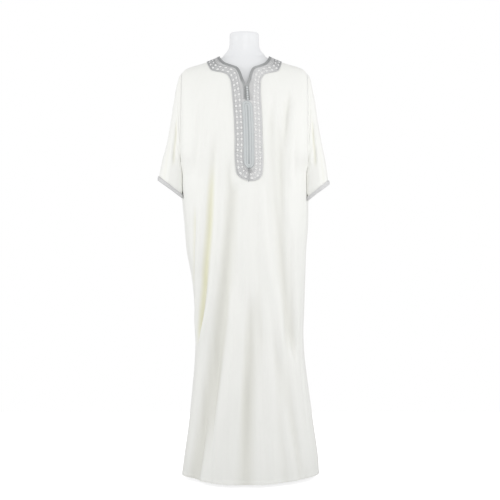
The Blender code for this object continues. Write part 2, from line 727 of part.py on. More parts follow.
def main():
    for obj in list(bpy.data.objects):
        bpy.data.objects.remove(obj)
    cloth = material("ivory_satin", (0.90, 0.89, 0.84), 0.55)
    lattice = material("silver_embroidery", (0.62, 0.62, 0.62), 0.5, 0.2)
    braid = material("grey_silk_braid", (0.50, 0.53, 0.54), 0.45, 0.2)
    shell = material("white_form_shell", (0.86, 0.87, 0.87), 0.3)
    steel = material("stand_steel", (0.60, 0.61, 0.62), 0.35, 1.0)
    robe = bpy.data.objects.new("robe", None)
    form = bpy.data.objects.new("dress_form", None)
    for empty in (robe, form):
        bpy.context.scene.collection.objects.link(empty)

    grids = {side: panel_grid(side) for side in ("front", "back")}
    for side, grid in grids.items():
        panel(side, grid, cloth, robe)
    trim(grids, lattice, braid, robe)
    for side in ("left", "right"):
        sleeve(side, cloth, robe)
        cuff(side, braid, robe)

    loft("form_torso", form_rings(), shell, form)
    pole(steel, form)
    base(steel, form)


main()
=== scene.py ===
# %% [markdown]
# # A djellaba robe on a dress form
# A long, short-sleeved robe of ivory satin hangs on a limbless shop form. Its neck and front
# slit carry a band of silver-grey embroidery, and its cuffs a narrow grey braid.
#
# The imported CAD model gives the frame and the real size. This script makes the cloth again with
# finer folds, sews on the trim thread by thread, gives each piece its finish, and lights it.
# Lengths are in metres, +Z is up, and -Y is the robe's front. Left is the viewer's left.

import math

import bpy
import numpy as np
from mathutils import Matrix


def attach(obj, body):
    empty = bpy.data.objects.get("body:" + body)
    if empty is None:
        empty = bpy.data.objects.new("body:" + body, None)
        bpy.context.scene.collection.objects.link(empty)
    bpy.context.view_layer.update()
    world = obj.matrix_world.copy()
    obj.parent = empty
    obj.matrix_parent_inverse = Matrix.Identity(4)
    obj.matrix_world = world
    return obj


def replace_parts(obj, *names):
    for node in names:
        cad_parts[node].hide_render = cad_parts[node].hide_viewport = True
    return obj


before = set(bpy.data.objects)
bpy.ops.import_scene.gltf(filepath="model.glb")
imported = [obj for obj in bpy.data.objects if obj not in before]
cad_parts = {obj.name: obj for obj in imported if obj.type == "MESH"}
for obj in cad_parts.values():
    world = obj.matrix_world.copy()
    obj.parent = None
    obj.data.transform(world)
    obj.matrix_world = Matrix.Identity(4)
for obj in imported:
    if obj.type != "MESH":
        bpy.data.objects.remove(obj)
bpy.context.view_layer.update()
scene = bpy.context.scene

# %% [markdown]
# ## The camera
# A long lens from four and a half metres away, level, at the height of the robe's middle. A long
# lens keeps the hem's curve shallow.

# %% Camera
CAMERA_PLACE = (0.02, -4.5, 0.80)
SENSOR_WIDTH, LENS = 36.0, 92.304  # in millimetres
camera_data = bpy.data.cameras.new("camera")
camera_data.sensor_width = SENSOR_WIDTH
camera_data.lens = LENS
camera = bpy.data.objects.new("camera", camera_data)
camera.location = CAMERA_PLACE
camera.rotation_euler = (math.radians(90), 0, 0)
scene.collection.objects.link(camera)
scene.camera = camera
print(f"lens {camera_data.lens:.1f} mm")

# %% [markdown]
# ## Small maths helpers
# Every shape below is a formula on whole numpy arrays. A table of a few rows, read through a smooth
# cubic, is easier to adjust than a long list of points, so most shapes start from one. These few
# helpers join such rows, fade effects in and out, and measure along a line.


# %% Helpers for curves
def smooth(at, knots, values):
    """A cubic between table rows, whose slope at each row is that of the line through its
    neighbours. It stays level beyond the table's ends."""
    at = np.clip(at, knots[0], knots[-1])
    slopes = np.gradient(values, knots)
    k = np.clip(np.searchsorted(knots, at, side="right") - 1, 0, len(knots) - 2)
    span = knots[k + 1] - knots[k]
    t = (at - knots[k]) / span
    rise = t * t * (3 - 2 * t)
    tangent = span * (slopes[k] * t * (1 - t) ** 2 - slopes[k + 1] * t * t * (1 - t))
    return values[k] * (1 - rise) + values[k + 1] * rise + tangent


def ease(t):
    """3t^2 - 2t^3, held at 0 below 0 and at 1 above 1."""
    t = np.clip(t, 0, 1)
    return t * t * (3 - 2 * t)


def unit(vectors):
    """Each vector divided by its length."""
    return vectors / (np.linalg.norm(vectors, axis=-1, keepdims=True) + 1e-12)


def table(columns, rows):
    """A small table with named columns."""
    return np.array([tuple(r) for r in rows], dtype=[(n, float) for n in columns.split()])


def run_along(points):
    """How far along a line of points each one lies from the first: the sum of the steps so far."""
    return np.concatenate([[0], np.cumsum(np.linalg.norm(np.diff(points, axis=0), axis=-1))])


def full_turn(count):
    """Even steps round a circle, in radians: 2 pi k / count."""
    return np.arange(count) / count * 2 * np.pi


# %% [markdown]
# ## Meshes from grids
# A piece is one or more grids of points. `wall` turns an outer and an inner grid into a sheet with
# thickness and closed rims, `tubes` closes stacks of rings, and `cords` sweeps rings along many
# paths at once. All write whole arrays straight into the mesh, which is far quicker than adding
# faces one by one, and all give each corner a place in metres or turns, which the materials use for
# the direction of a thread.

# %% Mesh builder
SHARP_ANGLE = math.radians(55)


def build(name, points, quads, quad_uv, tris=None, tri_uv=None, **attributes):
    """Writes points (n, 3), quads (q, 4) and triangles (t, 3) into a mesh, with a UV for each
    corner. If the signed volume, the sum of a.(b x c)/6 over its faces, is negative, every face is
    turned round, so that faces point outwards."""
    tris = np.zeros((0, 3), int) if tris is None else tris
    tri_uv = np.zeros((0, 3, 2)) if tri_uv is None else tri_uv
    a, b, c, d = (points[quads[:, k]] for k in range(4))
    volume = (a * np.cross(b, c)).sum() + (a * np.cross(c, d)).sum()
    p, q, r = (points[tris[:, k]] for k in range(3))
    volume += (p * np.cross(q, r)).sum()
    if volume < 0:
        quads, quad_uv, tris, tri_uv = (v[:, ::-1] for v in (quads, quad_uv, tris, tri_uv))
    mesh = bpy.data.meshes.new(name)
    mesh.vertices.add(len(points))
    mesh.vertices.foreach_set("co", points.astype(np.float32).ravel())
    corners = np.concatenate([quads.ravel(), tris.ravel()]).astype(np.int32)
    mesh.loops.add(len(corners))
    mesh.loops.foreach_set("vertex_index", corners)
    sizes = np.concatenate([np.full(len(quads), 4), np.full(len(tris), 3)])
    mesh.polygons.add(len(sizes))
    starts = np.concatenate([[0], np.cumsum(sizes)[:-1]]).astype(np.int32)
    mesh.polygons.foreach_set("loop_start", starts)
    mesh.update(calc_edges=True)
    layer = mesh.uv_layers.new(name="thread")
    uv = np.concatenate([quad_uv.reshape(-1, 2), tri_uv.reshape(-1, 2)])
    layer.data.foreach_set("uv", uv.astype(np.float32).ravel())
    for key, values in attributes.items():
        mesh.attributes.new(key, "FLOAT", "POINT").data.foreach_set(
            "value", values.astype(np.float32).ravel()
        )
    mesh.shade_smooth()
    mesh.set_sharp_from_angle(angle=SHARP_ANGLE)
    obj = bpy.data.objects.new(name, mesh)
    scene.collection.objects.link(obj)
    print(f"{name}: {2 * len(quads) + len(tris)} triangles")
    return obj


# %% Sheets with thickness
def cells(batch, rows, columns, row_wrap, column_wrap):
    """Corners of every cell of a batch of grids, as rows and columns and as point numbers."""
    r = np.arange(rows if row_wrap else rows - 1)
    c = np.arange(columns if column_wrap else columns - 1)
    r, c = (v[..., None] for v in np.meshgrid(r, c, indexing="ij"))
    r = r + np.array([0, 1, 1, 0])
    c = c + np.array([0, 0, 1, 1])
    number = (r % rows) * columns + c % columns
    number = number.reshape(1, -1, 4) + (np.arange(batch) * rows * columns)[:, None, None]
    return r.reshape(-1, 4), c.reshape(-1, 4), number.reshape(-1, 4)


def wall(name, outer, inner, uv, round_it=False, **attributes):
    """A sheet with thickness: the outer grid's rows run down, round the rim, and back up the inner
    grid's, as one closed band; where the grid doesn't close on itself, two side rims are added."""
    rows, columns = outer.shape[:2]
    grid = np.concatenate([outer, inner[::-1]])
    r, c, quads = cells(1, 2 * rows, columns, True, round_it)
    fold = np.concatenate([np.arange(rows), np.arange(rows)[::-1], [0]])
    quad_uv = uv[fold[r], c]
    if not round_it:
        k = np.arange(rows - 1)
        for column in (0, columns - 1):
            ring = np.stack([k, 2 * rows - 1 - k, 2 * rows - 2 - k, k + 1], axis=-1)
            ring = ring if column == 0 else ring[:, ::-1]
            quads = np.concatenate([quads, ring * columns + column])
            quad_uv = np.concatenate([quad_uv, uv[fold[ring], column]])
    attributes = {n: np.concatenate([v, v[::-1]]) for n, v in attributes.items()}
    return build(name, grid.reshape(-1, 3), quads, quad_uv, **attributes)


# %% Closed shapes
def tubes(name, grids, tips, uv, **attributes):
    """A batch of closed shapes, each a stack of rings with a fan to a tip at both ends: grids is
    (m, rows, columns, 3), tips is (m, 2, 3) and uv is (m, rows, columns + 1, 2). An attribute has
    one value for each shape, or one for each point of the grids."""
    m, rows, columns = grids.shape[:3]
    r, c, quads = cells(m, rows, columns, False, True)
    which = np.repeat(np.arange(m), len(r))[:, None]
    r, c = np.tile(r, (m, 1)), np.tile(c, (m, 1))
    first = np.arange(m)[:, None] * rows * columns + np.arange(columns)
    last = first + (rows - 1) * columns
    tip = m * rows * columns + np.arange(m)[:, None] + np.zeros(columns, int)
    start = np.stack([tip, first, np.roll(first, -1, 1)], axis=-1)
    end = np.stack([tip + m, np.roll(last, -1, 1), last], axis=-1)
    tris = np.concatenate([start, end]).reshape(-1, 3)
    ring, ahead = uv[:, [0, -1], :-1], uv[:, [0, -1], 1:]
    fan = [
        np.stack([ring[:, 0], ring[:, 0], ahead[:, 0]], axis=2),
        np.stack([ring[:, 1], ahead[:, 1], ring[:, 1]], axis=2),
    ]
    points = np.concatenate([grids.reshape(-1, 3), tips[:, 0], tips[:, 1]])
    for key, value in attributes.items():
        value = np.broadcast_to(value.reshape(m, -1), (m, value.size // m))
        whole = np.repeat(value, rows * columns // value.shape[1], axis=1)
        attributes[key] = np.concatenate([whole.ravel(), value[:, 0], value[:, -1]])
    tri_uv = np.concatenate(fan).reshape(-1, 3, 2)
    return build(name, points, quads, uv[which, r, c], tris, tri_uv, **attributes)


# %% Cords
TIP_REACH = 0.4  # how far a cord's cone stands out, over its radius


def cords(name, paths, normals, radius, sides=8, closed=False, flat=1.0, **attributes):
    """Round cords along paths (m, n, 3): a ring's point is the path's point plus radius times
    (cos a x normal x flat + sin a x side), and side is the path's direction times the normal.
    Open cords end in a shallow cone. UV is metres along the path and turns round it."""
    m, n = paths.shape[:2]
    if closed:
        along = np.roll(paths, -1, 1) - np.roll(paths, 1, 1)
    else:
        along = np.gradient(paths, axis=1)
    normals = unit(normals - unit(along) * (normals * unit(along)).sum(-1, keepdims=True))
    side = unit(np.cross(along, normals))
    a = full_turn(sides)
    reach = np.broadcast_to(radius, (m, n))[..., None, None]
    ring = np.cos(a)[:, None] * normals[:, :, None] * flat + np.sin(a)[:, None] * side[:, :, None]
    grids = paths[:, :, None] + reach * ring
    step = np.linalg.norm(np.diff(paths, axis=1, append=paths[:, :1]), axis=-1)
    run = np.concatenate([np.zeros((m, 1)), np.cumsum(step, axis=1)], axis=1)
    uv = np.stack(np.broadcast_arrays(run[..., None], np.arange(sides + 1) / sides), axis=-1)
    if closed:
        r, c, quads = cells(m, n, sides, True, True)
        which = np.repeat(np.arange(m), len(r))[:, None]
        quad_uv = uv[which, np.tile(r, (m, 1)), np.tile(c, (m, 1))]
        for key, value in attributes.items():
            attributes[key] = np.repeat(value.ravel(), m * n * sides // value.size)
        return build(name, grids.reshape(-1, 3), quads, quad_uv, **attributes)
    push = TIP_REACH * np.stack([-unit(along[:, 0]), unit(along[:, -1])], axis=1)
    tips = paths[:, [0, -1]] + push * reach[:, [0, -1], 0]
    return tubes(name, grids, tips, uv[:, :n], **attributes)


# %% Dressing a piece
def dress(obj, material, slot_name, *nodes):
    """Gives a finished piece its material, its body and the nodes that it stands for. slot_name is not used.
    """
    obj.data.materials.append(material)
    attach(obj, "root")
    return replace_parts(obj, *nodes) if nodes else obj


# %% [markdown]
# ## The robe's body
# The body is an upright tube whose level sections are squared ovals, wide at the shoulders, a
# little narrower at the shins, and flaring at the hem. Above the underarm its depth shrinks to
# nothing along the shoulder seam. A draped mesh from a simulation would also do, but a robe that
# hangs still is described by a dozen sections, and those can be set to the millimetre. The sizes
# are the CAD model's, with the outline drawn a few millimetres finer.

# %% Body sizes
CLOTH = 0.0016  # wall thickness of the cloth
TRIM = 0.0012  # and of the ribbons under the trim
SEAM_GAP = 0.0003  # between pieces that are sewn together
LAY_GAP = 0.0006  # between pieces that lie on each other
HEM_Z = 0.010
HEM_RISE, HEM_HALF_WIDTH = 0.007, 0.24
UNDERARM_Z = 1.060
SHOULDER_ROUNDING = 2.7
ARMHOLE_DEPTH = 0.062
ARMHOLE_CURVE_START = 0.72  # share of the way down the armhole
ARMHOLE_BRIDGE = 0.18  # the share at its foot that the cloth bridges
BRIDGE_REACH = 0.45  # how far in from the seam the bridging is complete
BODY = table(
    "z left right front back squareness",
    [
        (0.010, 0.2175, 0.2620, 0.205, 0.196, 1.75),
        (0.063, 0.2110, 0.2586, 0.201, 0.192, 1.78),
        (0.189, 0.1938, 0.2415, 0.190, 0.181, 1.85),
        (0.316, 0.1808, 0.2240, 0.179, 0.170, 1.95),
        (0.442, 0.1712, 0.2092, 0.167, 0.159, 2.10),
        (0.505, 0.1706, 0.2064, 0.162, 0.154, 2.20),
        (0.590, 0.1732, 0.2092, 0.156, 0.147, 2.30),
        (0.695, 0.1822, 0.2126, 0.150, 0.140, 2.40),
        (0.800, 0.2014, 0.2160, 0.146, 0.135, 2.50),
        (0.884, 0.2080, 0.2225, 0.142, 0.131, 2.65),
        (0.968, 0.2158, 0.2230, 0.139, 0.128, 2.80),
        (1.020, 0.2186, 0.2200, 0.136, 0.125, 3.0),
        (1.060, 0.2186, 0.2200, 0.136, 0.125, 3.0),
    ],
)
SHOULDER = table(
    "across z",
    [
        (0.0000, 1.4945),
        (0.0400, 1.4885),
        (0.0850, 1.4735),
        (0.1200, 1.4595),
        (0.1580, 1.4474),
        (0.1900, 1.4380),
        (0.2070, 1.4297),
        (0.2186, 1.4175),
        (0.2200, 1.4155),
    ],
)
print(f"body {HEM_Z:.3f} to {SHOULDER['z'][0]:.3f} m high")


# %% Level sections
def shoulder_z(x):
    """The shoulder seam's height at x."""
    return smooth(np.abs(x), SHOULDER["across"], SHOULDER["z"])


def level(w, x):
    """Height at w: 0 on the shoulder seam, 1 at the underarm and 2 at the hem, which rises to its
    side seams with the square of x."""
    top = shoulder_z(x)
    hem = HEM_Z + HEM_RISE * (x / HEM_HALF_WIDTH) ** 2
    skirt = UNDERARM_Z + (hem - UNDERARM_Z) * (w - 1)
    return np.where(w <= 1, top + (UNDERARM_Z - top) * w, skirt)


def oval(angle, n):
    """|sin| and |cos| of the angle, each divided by (|sin|^n + |cos|^n)^(1/n)."""
    s, c = np.abs(np.sin(angle)), np.abs(np.cos(angle))
    reach = (s**n + c**n) ** (1 / n)
    return s / reach, c / reach


def oval_angle(share, n):
    """The angle whose point on the squared oval has this share of the half width."""
    share = np.clip(np.abs(share), 0, 1)
    return np.arctan2(share, (1 - share**n) ** (1 / n))


def half_width(z, x_sign):
    """Half the body's width at a height, on the left or the right."""
    z = np.minimum(z, UNDERARM_Z)
    left, right = (smooth(z, BODY["z"], BODY[side]) for side in ("left", "right"))
    return np.where(x_sign < 0, left, right)


# %% Body surface
def shoulder_curve(w):
    """The side view's curve over the shoulder: (1 - (1 - w)^n)^(1/n)."""
    n = SHOULDER_ROUNDING
    return (1 - (1 - np.clip(w, 0, 1)) ** n) ** (1 / n)


def armhole_depth(w):
    """The armhole's half depth, with a quarter-round bottom."""
    t = np.clip((w - ARMHOLE_CURVE_START) / (1 - ARMHOLE_CURVE_START), 0, 1)
    return ARMHOLE_DEPTH * np.sqrt(1 - t * t)


def bridged_depth(w):
    """The armhole's half depth as the cloth beside it shows it: softly faded out at the bottom."""
    return armhole_depth(w) * ease((1 - w) / ARMHOLE_BRIDGE)


def smooth_body(side, angle, w):
    """x, depth and z of the body without folds. The angle runs from -90 degrees, the left side
    seam, to 90, the right; depth goes from the armhole's edge to the full depth at the middle. The
    armhole's round bottom shows only near the seam, and further in the cloth bridges it."""
    x_sign = np.where(angle < 0, -1.0, 1.0)
    z_low = level(np.maximum(w, 1), 0.0)
    across, depth = oval(angle, smooth(z_low, BODY["z"], BODY["squareness"]))
    x = x_sign * across * half_width(z_low, x_sign)
    edge = armhole_depth(w) + (bridged_depth(w) - armhole_depth(w)) * ease(depth / BRIDGE_REACH)
    full = smooth(z_low, BODY["z"], BODY[side])
    return x, shoulder_curve(w) * (edge + (full - edge) * depth) + SEAM_GAP / 2, level(w, x)


# %% [markdown]
# ## Folds
# Satin hangs in long soft folds that start where something holds it: under the chest, at the
# hips, at the armholes. Noise would wrinkle it everywhere alike, so each row below is one trough:
# where it starts and ends, how it wanders, how wide and how deep it gets. A trough
# is a bell curve across, with low rolls beside it, because the cloth that it takes in comes from
# both sides. The folds are the large ones, close to the CAD model's, and the creases are finer ones
# on top. A negative depth makes a ridge.

# %% Fold tables
FOLD_COLUMNS = "z_top z_low x_top x_mid x_low wide_top wide_low deep_top deep_low"
FRONT_FOLDS = table(
    FOLD_COLUMNS,
    [
        (1.24, 0.44, -0.102, -0.121, -0.168, 0.016, 0.021, 0.004, 0.021),
        (1.16, -0.3, -0.040, -0.100, -0.262, 0.022, 0.050, 0.009, 0.031),
        (0.70, -0.3, 0.030, 0.010, -0.016, 0.030, 0.042, 0.008, 0.022),
        (1.32, 0.40, 0.088, 0.120, 0.176, 0.022, 0.026, 0.006, 0.014),
        (1.38, 0.92, 0.156, 0.133, 0.150, 0.018, 0.018, 0.007, 0.005),
        (0.74, -0.3, 0.084, 0.122, 0.174, 0.018, 0.026, 0.005, 0.012),
        (0.50, -0.3, 0.112, 0.188, 0.290, 0.020, 0.026, 0.005, 0.012),
        (0.66, -0.3, -0.014, -0.050, -0.094, 0.026, 0.036, -0.004, -0.008),
    ],
)
FRONT_CREASES = table(
    FOLD_COLUMNS,
    [
        (1.36, 1.02, -0.150, -0.158, -0.172, 0.010, 0.012, 0.0022, 0.0032),
        (1.31, 0.93, -0.128, -0.138, -0.150, 0.009, 0.012, 0.0016, 0.0035),
        (1.00, 0.60, -0.166, -0.172, -0.176, 0.009, 0.012, 0.0054, 0.0041),
        (1.24, 0.88, -0.070, -0.076, -0.086, 0.009, 0.011, 0.0022, 0.0030),
        (1.39, 1.08, 0.158, 0.147, 0.130, 0.008, 0.012, 0.0066, 0.0050),
        (1.40, 1.16, 0.106, 0.098, 0.090, 0.010, 0.012, 0.0030, 0.0041),
        (1.30, 0.84, 0.118, 0.124, 0.140, 0.008, 0.010, 0.0024, 0.0035),
        (1.28, 0.96, 0.178, 0.172, 0.180, 0.009, 0.011, 0.0027, 0.0035),
        (1.14, 0.64, 0.070, 0.082, 0.108, 0.010, 0.012, 0.0022, 0.0032),
        (0.99, 0.42, 0.040, 0.050, 0.062, 0.012, 0.014, 0.0016, 0.0035),
        (0.90, 0.36, 0.156, 0.166, 0.176, 0.009, 0.012, 0.0030, 0.0041),
        (0.86, 0.30, -0.010, -0.020, -0.034, 0.012, 0.016, 0.0021, 0.0046),
        (0.62, -0.2, 0.060, 0.072, 0.088, 0.012, 0.016, 0.0035, 0.0063),
        (0.60, -0.2, 0.140, 0.168, 0.216, 0.010, 0.014, 0.0039, 0.0063),
        (0.54, -0.2, -0.086, -0.108, -0.134, 0.012, 0.018, 0.0035, 0.0059),
        (0.44, -0.2, -0.140, -0.152, -0.186, 0.010, 0.016, 0.0032, 0.0059),
        (0.40, -0.2, 0.008, 0.014, 0.030, 0.012, 0.016, 0.0028, 0.0053),
        (1.44, 1.34, -0.172, -0.150, -0.128, 0.010, 0.012, 0.0024, 0.0011),
        (1.43, 1.33, 0.178, 0.156, 0.138, 0.010, 0.012, 0.0024, 0.0011),
    ],
)
BACK_FOLDS = table(
    FOLD_COLUMNS,
    [
        (1.26, -0.3, -0.104, -0.138, -0.176, 0.022, 0.036, 0.007, 0.020),
        (1.14, 0.10, -0.050, -0.058, -0.085, 0.022, 0.034, 0.006, 0.014),
        (1.32, -0.3, 0.004, -0.004, -0.020, 0.022, 0.044, 0.004, 0.020),
        (1.10, 0.16, 0.058, 0.066, 0.090, 0.022, 0.030, 0.007, 0.015),
        (1.24, -0.3, 0.116, 0.146, 0.196, 0.022, 0.036, 0.008, 0.020),
        (0.62, -0.3, 0.040, 0.056, 0.076, 0.022, 0.034, 0.005, 0.014),
        (0.58, -0.3, -0.170, -0.192, -0.214, 0.022, 0.030, 0.005, 0.012),
    ],
)
BACK_CREASES = table(
    FOLD_COLUMNS,
    [
        (1.36, 0.98, -0.146, -0.152, -0.160, 0.010, 0.012, 0.0024, 0.0039),
        (1.28, 0.90, -0.078, -0.082, -0.080, 0.010, 0.012, 0.0021, 0.0036),
        (1.34, 0.94, 0.064, 0.072, 0.086, 0.010, 0.012, 0.0021, 0.0036),
        (1.38, 1.00, 0.160, 0.156, 0.166, 0.010, 0.012, 0.0027, 0.0039),
        (1.02, 0.40, -0.026, -0.030, -0.040, 0.012, 0.015, 0.0021, 0.0042),
        (0.96, 0.34, 0.030, 0.034, 0.040, 0.012, 0.015, 0.0021, 0.0042),
        (0.80, -0.2, 0.150, 0.174, 0.220, 0.011, 0.015, 0.0030, 0.0051),
        (0.74, -0.2, -0.120, -0.134, -0.160, 0.011, 0.015, 0.0030, 0.0051),
        (0.50, -0.2, 0.100, 0.112, 0.136, 0.012, 0.016, 0.0027, 0.0048),
        (0.48, -0.2, -0.040, -0.046, -0.062, 0.012, 0.016, 0.0027, 0.0048),
    ],
)
FOLDS = {"front": FRONT_FOLDS, "back": BACK_FOLDS}
CREASES = {"front": FRONT_CREASES, "back": BACK_CREASES}
FOLD_FADE = 0.13  # the height over which a fold's ends fade
HEM_CALM, HEM_CALM_HEIGHT = 0.55, 0.40  # the share of a fold left at the hem, and where that starts
SEAM_FADE = 0.35  # the angle beside a side seam over which folds fade
BAND_HALF_WIDTH, BAND_FOOT_DROP = 0.0455, 0.4565
BAND_STIFFNESS, BAND_FOOT_FADE = 0.03, 0.05  # how far beside and below it the cloth is still held flat
FOLD_ROLL = (0.35, 1.9, 0.8)  # the rolls beside a fold: height, place and spread
FLUTE_HEIGHT = 0.00045
SLIT_LEAN = table("drop aside", [(0, 0), (0.06, 0.003), (0.1235, 0.006), (0.25, 0.0138), (0.46, 0.0175)])
STEP = 1e-4  # for slopes
print({side: len(FOLDS[side]) + len(CREASES[side]) for side in FOLDS}, "folds")


# %% Fold depth
def trough(o, roll, aside, spread):
    """A bell curve less the rolls beside it: exp(-o^2) - roll x exp(-(|o| - aside)^2 / spread)."""
    return np.exp(-o * o) - roll * np.exp(-((np.abs(o) - aside) ** 2) / spread)


def fold_depth(folds, angle, z, speed):
    """The sum over the folds of depth x trough(o), where o is the distance from the fold's path,
    a parabola through its three points, over its width. A fold fades at both ends and at the hem."""
    total = np.zeros_like(z)
    n = smooth(np.minimum(z, UNDERARM_Z), BODY["z"], BODY["squareness"])
    for f in folds:
        t = (f["z_top"] - z) / (f["z_top"] - f["z_low"])
        ends = ease((f["z_top"] - z) / FOLD_FADE) * ease((z - f["z_low"]) / FOLD_FADE)
        x = (1 - t) * (1 - 2 * t) * f["x_top"] + t * (2 * t - 1) * f["x_low"]
        x = x + 4 * t * (1 - t) * f["x_mid"]
        path = np.sign(x) * oval_angle(x / half_width(z, x), n)
        wide = f["wide_top"] + (f["wide_low"] - f["wide_top"]) * np.clip(t, 0, 1)
        deep = f["deep_top"] + (f["deep_low"] - f["deep_top"]) * np.clip(t, 0, 1)
        o = (angle - path) * speed / wide
        deep = deep * (HEM_CALM + (1 - HEM_CALM) * ease((z - HEM_Z) / HEM_CALM_HEIGHT))
        total += deep * ends * trough(o, *FOLD_ROLL)
    return total


def flutes(angle, z):
    """Faint uneven waves across the cloth: three sines of the angle, each of which drifts with
    height, and together at most about a millimetre."""
    a = np.sin(17 * angle + 3.1 * z + 0.4) + 0.7 * np.sin(29 * angle - 4.3 * z + 1.9)
    b = 0.5 * np.sin(43 * angle + 7.0 * z + np.sin(9 * z))
    return FLUTE_HEIGHT * (a + b) * (0.5 + ease((1.2 - z) / 0.9))


def slit_x(drop):
    """How far the slit's line leans to the right at a drop below the neck."""
    return smooth(drop, SLIT_LEAN["drop"], SLIT_LEAN["aside"])


def band_cover(x, z):
    """1 under the stiff embroidered band on the chest, where cloth can't fold, and 0 away from it."""
    foot_z = SHOULDER["z"][0] - BAND_FOOT_DROP
    aside = np.abs(x - slit_x(SHOULDER["z"][0] - z))
    beside = ease((aside - BAND_HALF_WIDTH) / BAND_STIFFNESS)
    return (1 - beside) * ease((z - foot_z) / BAND_FOOT_FADE + 1)


# %% Folded surface
def clear_of_seam(angle):
    """The angle, kept two small steps off the side seams."""
    most = np.pi / 2 - 2 * STEP
    return np.clip(angle, -most, most)


def body_push(side, angle, w):
    """The smooth body's x, depth and z, its level outward direction, and how far folds press in."""
    x, depth, z = smooth_body(side, angle, w)
    inside = clear_of_seam(angle)
    x_next, depth_next, _ = smooth_body(side, inside + STEP, w)
    x_last, depth_last, _ = smooth_body(side, inside - STEP, w)
    run_x, run_depth = x_next - x_last, depth_next - depth_last
    length = np.hypot(run_x, run_depth)
    speed = length / (2 * STEP)
    fine = fold_depth(CREASES[side], angle, z, speed) + flutes(angle, z) * ease((w - 0.1) / 0.3)
    push = fold_depth(FOLDS[side], angle, z, speed) + fine
    push = push * ease((np.pi / 2 - np.abs(angle)) / SEAM_FADE) * shoulder_curve(w) ** 2
    if side == "front":
        push = push * (1 - band_cover(x, z))
    return x, depth, z, -run_depth / length, run_x / length, push


def body_point(side, angle, w):
    """The folded surface: the smooth body, pushed in along its level normal."""
    x, depth, z, out_x, out_depth, push = body_push(side, angle, w)
    towards = -1.0 if side == "front" else 1.0
    return np.stack([x - push * out_x, towards * (depth - push * out_depth), z], axis=-1)


def body_frame(side, angle, w):
    """Points of the body and their unit normals, as the cross product of the two slopes."""
    u = clear_of_seam(angle)
    along_u = body_point(side, u + STEP, w) - body_point(side, u - STEP, w)
    along_w = body_point(side, u, w + STEP) - body_point(side, u, np.maximum(w - STEP, 0))
    normal = unit(np.cross(along_w, along_u)) * (1.0 if side == "front" else -1.0)
    return body_point(side, angle, w), normal


def body_place(x, z):
    """The angle and w of the body's surface at x and z, seen from the front."""
    top = shoulder_z(x)
    skirt = 1 + (UNDERARM_Z - z) / (UNDERARM_Z - HEM_Z)
    w = np.where(z > UNDERARM_Z, (top - z) / (top - UNDERARM_Z), skirt)
    n = smooth(np.minimum(z, UNDERARM_Z), BODY["z"], BODY["squareness"])
    return np.sign(x) * oval_angle(x / half_width(z, x), n), np.maximum(w, 0)


# %% [markdown]
# ## Node tools
# A finish is a small tree of shader nodes. Trees can be drawn by hand in the shader editor, but
# written down they can be read and repeated. `node` makes one node and plugs in what it is given,
# so that each finish reads as a few lines. Effects that several finishes share are node groups
# with named inputs and outputs.


# %% Node helpers
def node(tree, kind, inputs=(), **settings):
    """One shader node. A socket given as an input is linked, and a value is set."""
    made = tree.nodes.new("ShaderNode" + kind)
    for key, value in settings.items():
        setattr(made, key, value)
    for key, value in dict(inputs).items():
        if isinstance(value, bpy.types.NodeSocket):
            tree.links.new(value, made.inputs[key])
        else:
            made.inputs[key].default_value = value
    return made


def maths(tree, operation, *values):
    """One Math node's result."""
    return node(tree, "Math", dict(enumerate(values)), operation=operation).outputs[0]


def blend_colours(tree, factor, a, b, mode="MIX"):
    """A mix of two colours. A Mix node has sockets for every kind of value: its colours are inputs 6
    and 7 and output 2."""
    made = node(tree, "Mix", {0: factor, 6: a, 7: b}, data_type="RGBA", blend_type=mode)
    return made.outputs[2]


def remap(tree, value, source, target):
    """A value carried from one range (low, high) to another, and held at its ends. The node's first
    five sockets are the value and the four ends, in this order."""
    return node(tree, "MapRange", dict(enumerate((value, *source, *target)))).outputs[0]


def noise(tree, place, scale, detail, stretch=None):
    """Smooth random values about 0.5. Stretch multiplies x, y and z first, and the pattern is
    finest where it is largest."""
    if stretch is not None:
        place = node(tree, "Mapping", {"Vector": place, "Scale": stretch}).outputs[0]
    return node(tree, "TexNoise", {"Vector": place, "Scale": scale, "Detail": detail}).outputs[0]


# %% Group and material helpers
def group(name, inputs, outputs):
    """An empty node group with named sockets, and its input and output nodes."""
    tree = bpy.data.node_groups.new(name, "ShaderNodeTree")
    for direction, sockets in (("INPUT", inputs), ("OUTPUT", outputs)):
        for label, kind, value in sockets:
            socket = tree.interface.new_socket(label, in_out=direction, socket_type="NodeSocket" + kind)
            if value is not None:
                socket.default_value = value
    return tree, tree.nodes.new("NodeGroupInput"), tree.nodes.new("NodeGroupOutput")


def use(tree, shared, inputs):
    """Places a shared group in a material, with its own values."""
    return node(tree, "Group", inputs, node_tree=shared)


def finish(name, **values):
    """A material with a Principled shader, whose constant values are set on its own sockets."""
    made = bpy.data.materials.new(name)
    made.use_nodes = True
    tree = made.node_tree
    shader = tree.nodes["Principled BSDF"]
    for key, value in values.items():
        shader.inputs[key.replace("_", " ")].default_value = value
    return made, tree, shader


def feed(tree, shader, **results):
    """Plugs each result into the shader's socket of that name."""
    for key, result in results.items():
        tree.links.new(result, shader.inputs[key.replace("_", " ")])


def thread_uv(tree):
    """The piece's own map: metres, or turns, along and across its thread."""
    return node(tree, "UVMap", (), uv_map="thread").outputs[0]


def carried(tree, name):
    """A value that the mesh carries at its points, as an attribute."""
    return node(tree, "Attribute", (), attribute_name=name).outputs["Fac"]


def object_place(tree):
    """Where a point lies in its object, in metres."""
    return node(tree, "TexCoord").outputs["Object"]


def bump(tree, shader, height, distance, strength=1.0):
    """Tilts the shading as if the surface rose by height x distance, in metres."""
    made = node(tree, "Bump", {"Height": height, "Distance": distance, "Strength": strength})
    tree.links.new(made.outputs[0], shader.inputs["Normal"])


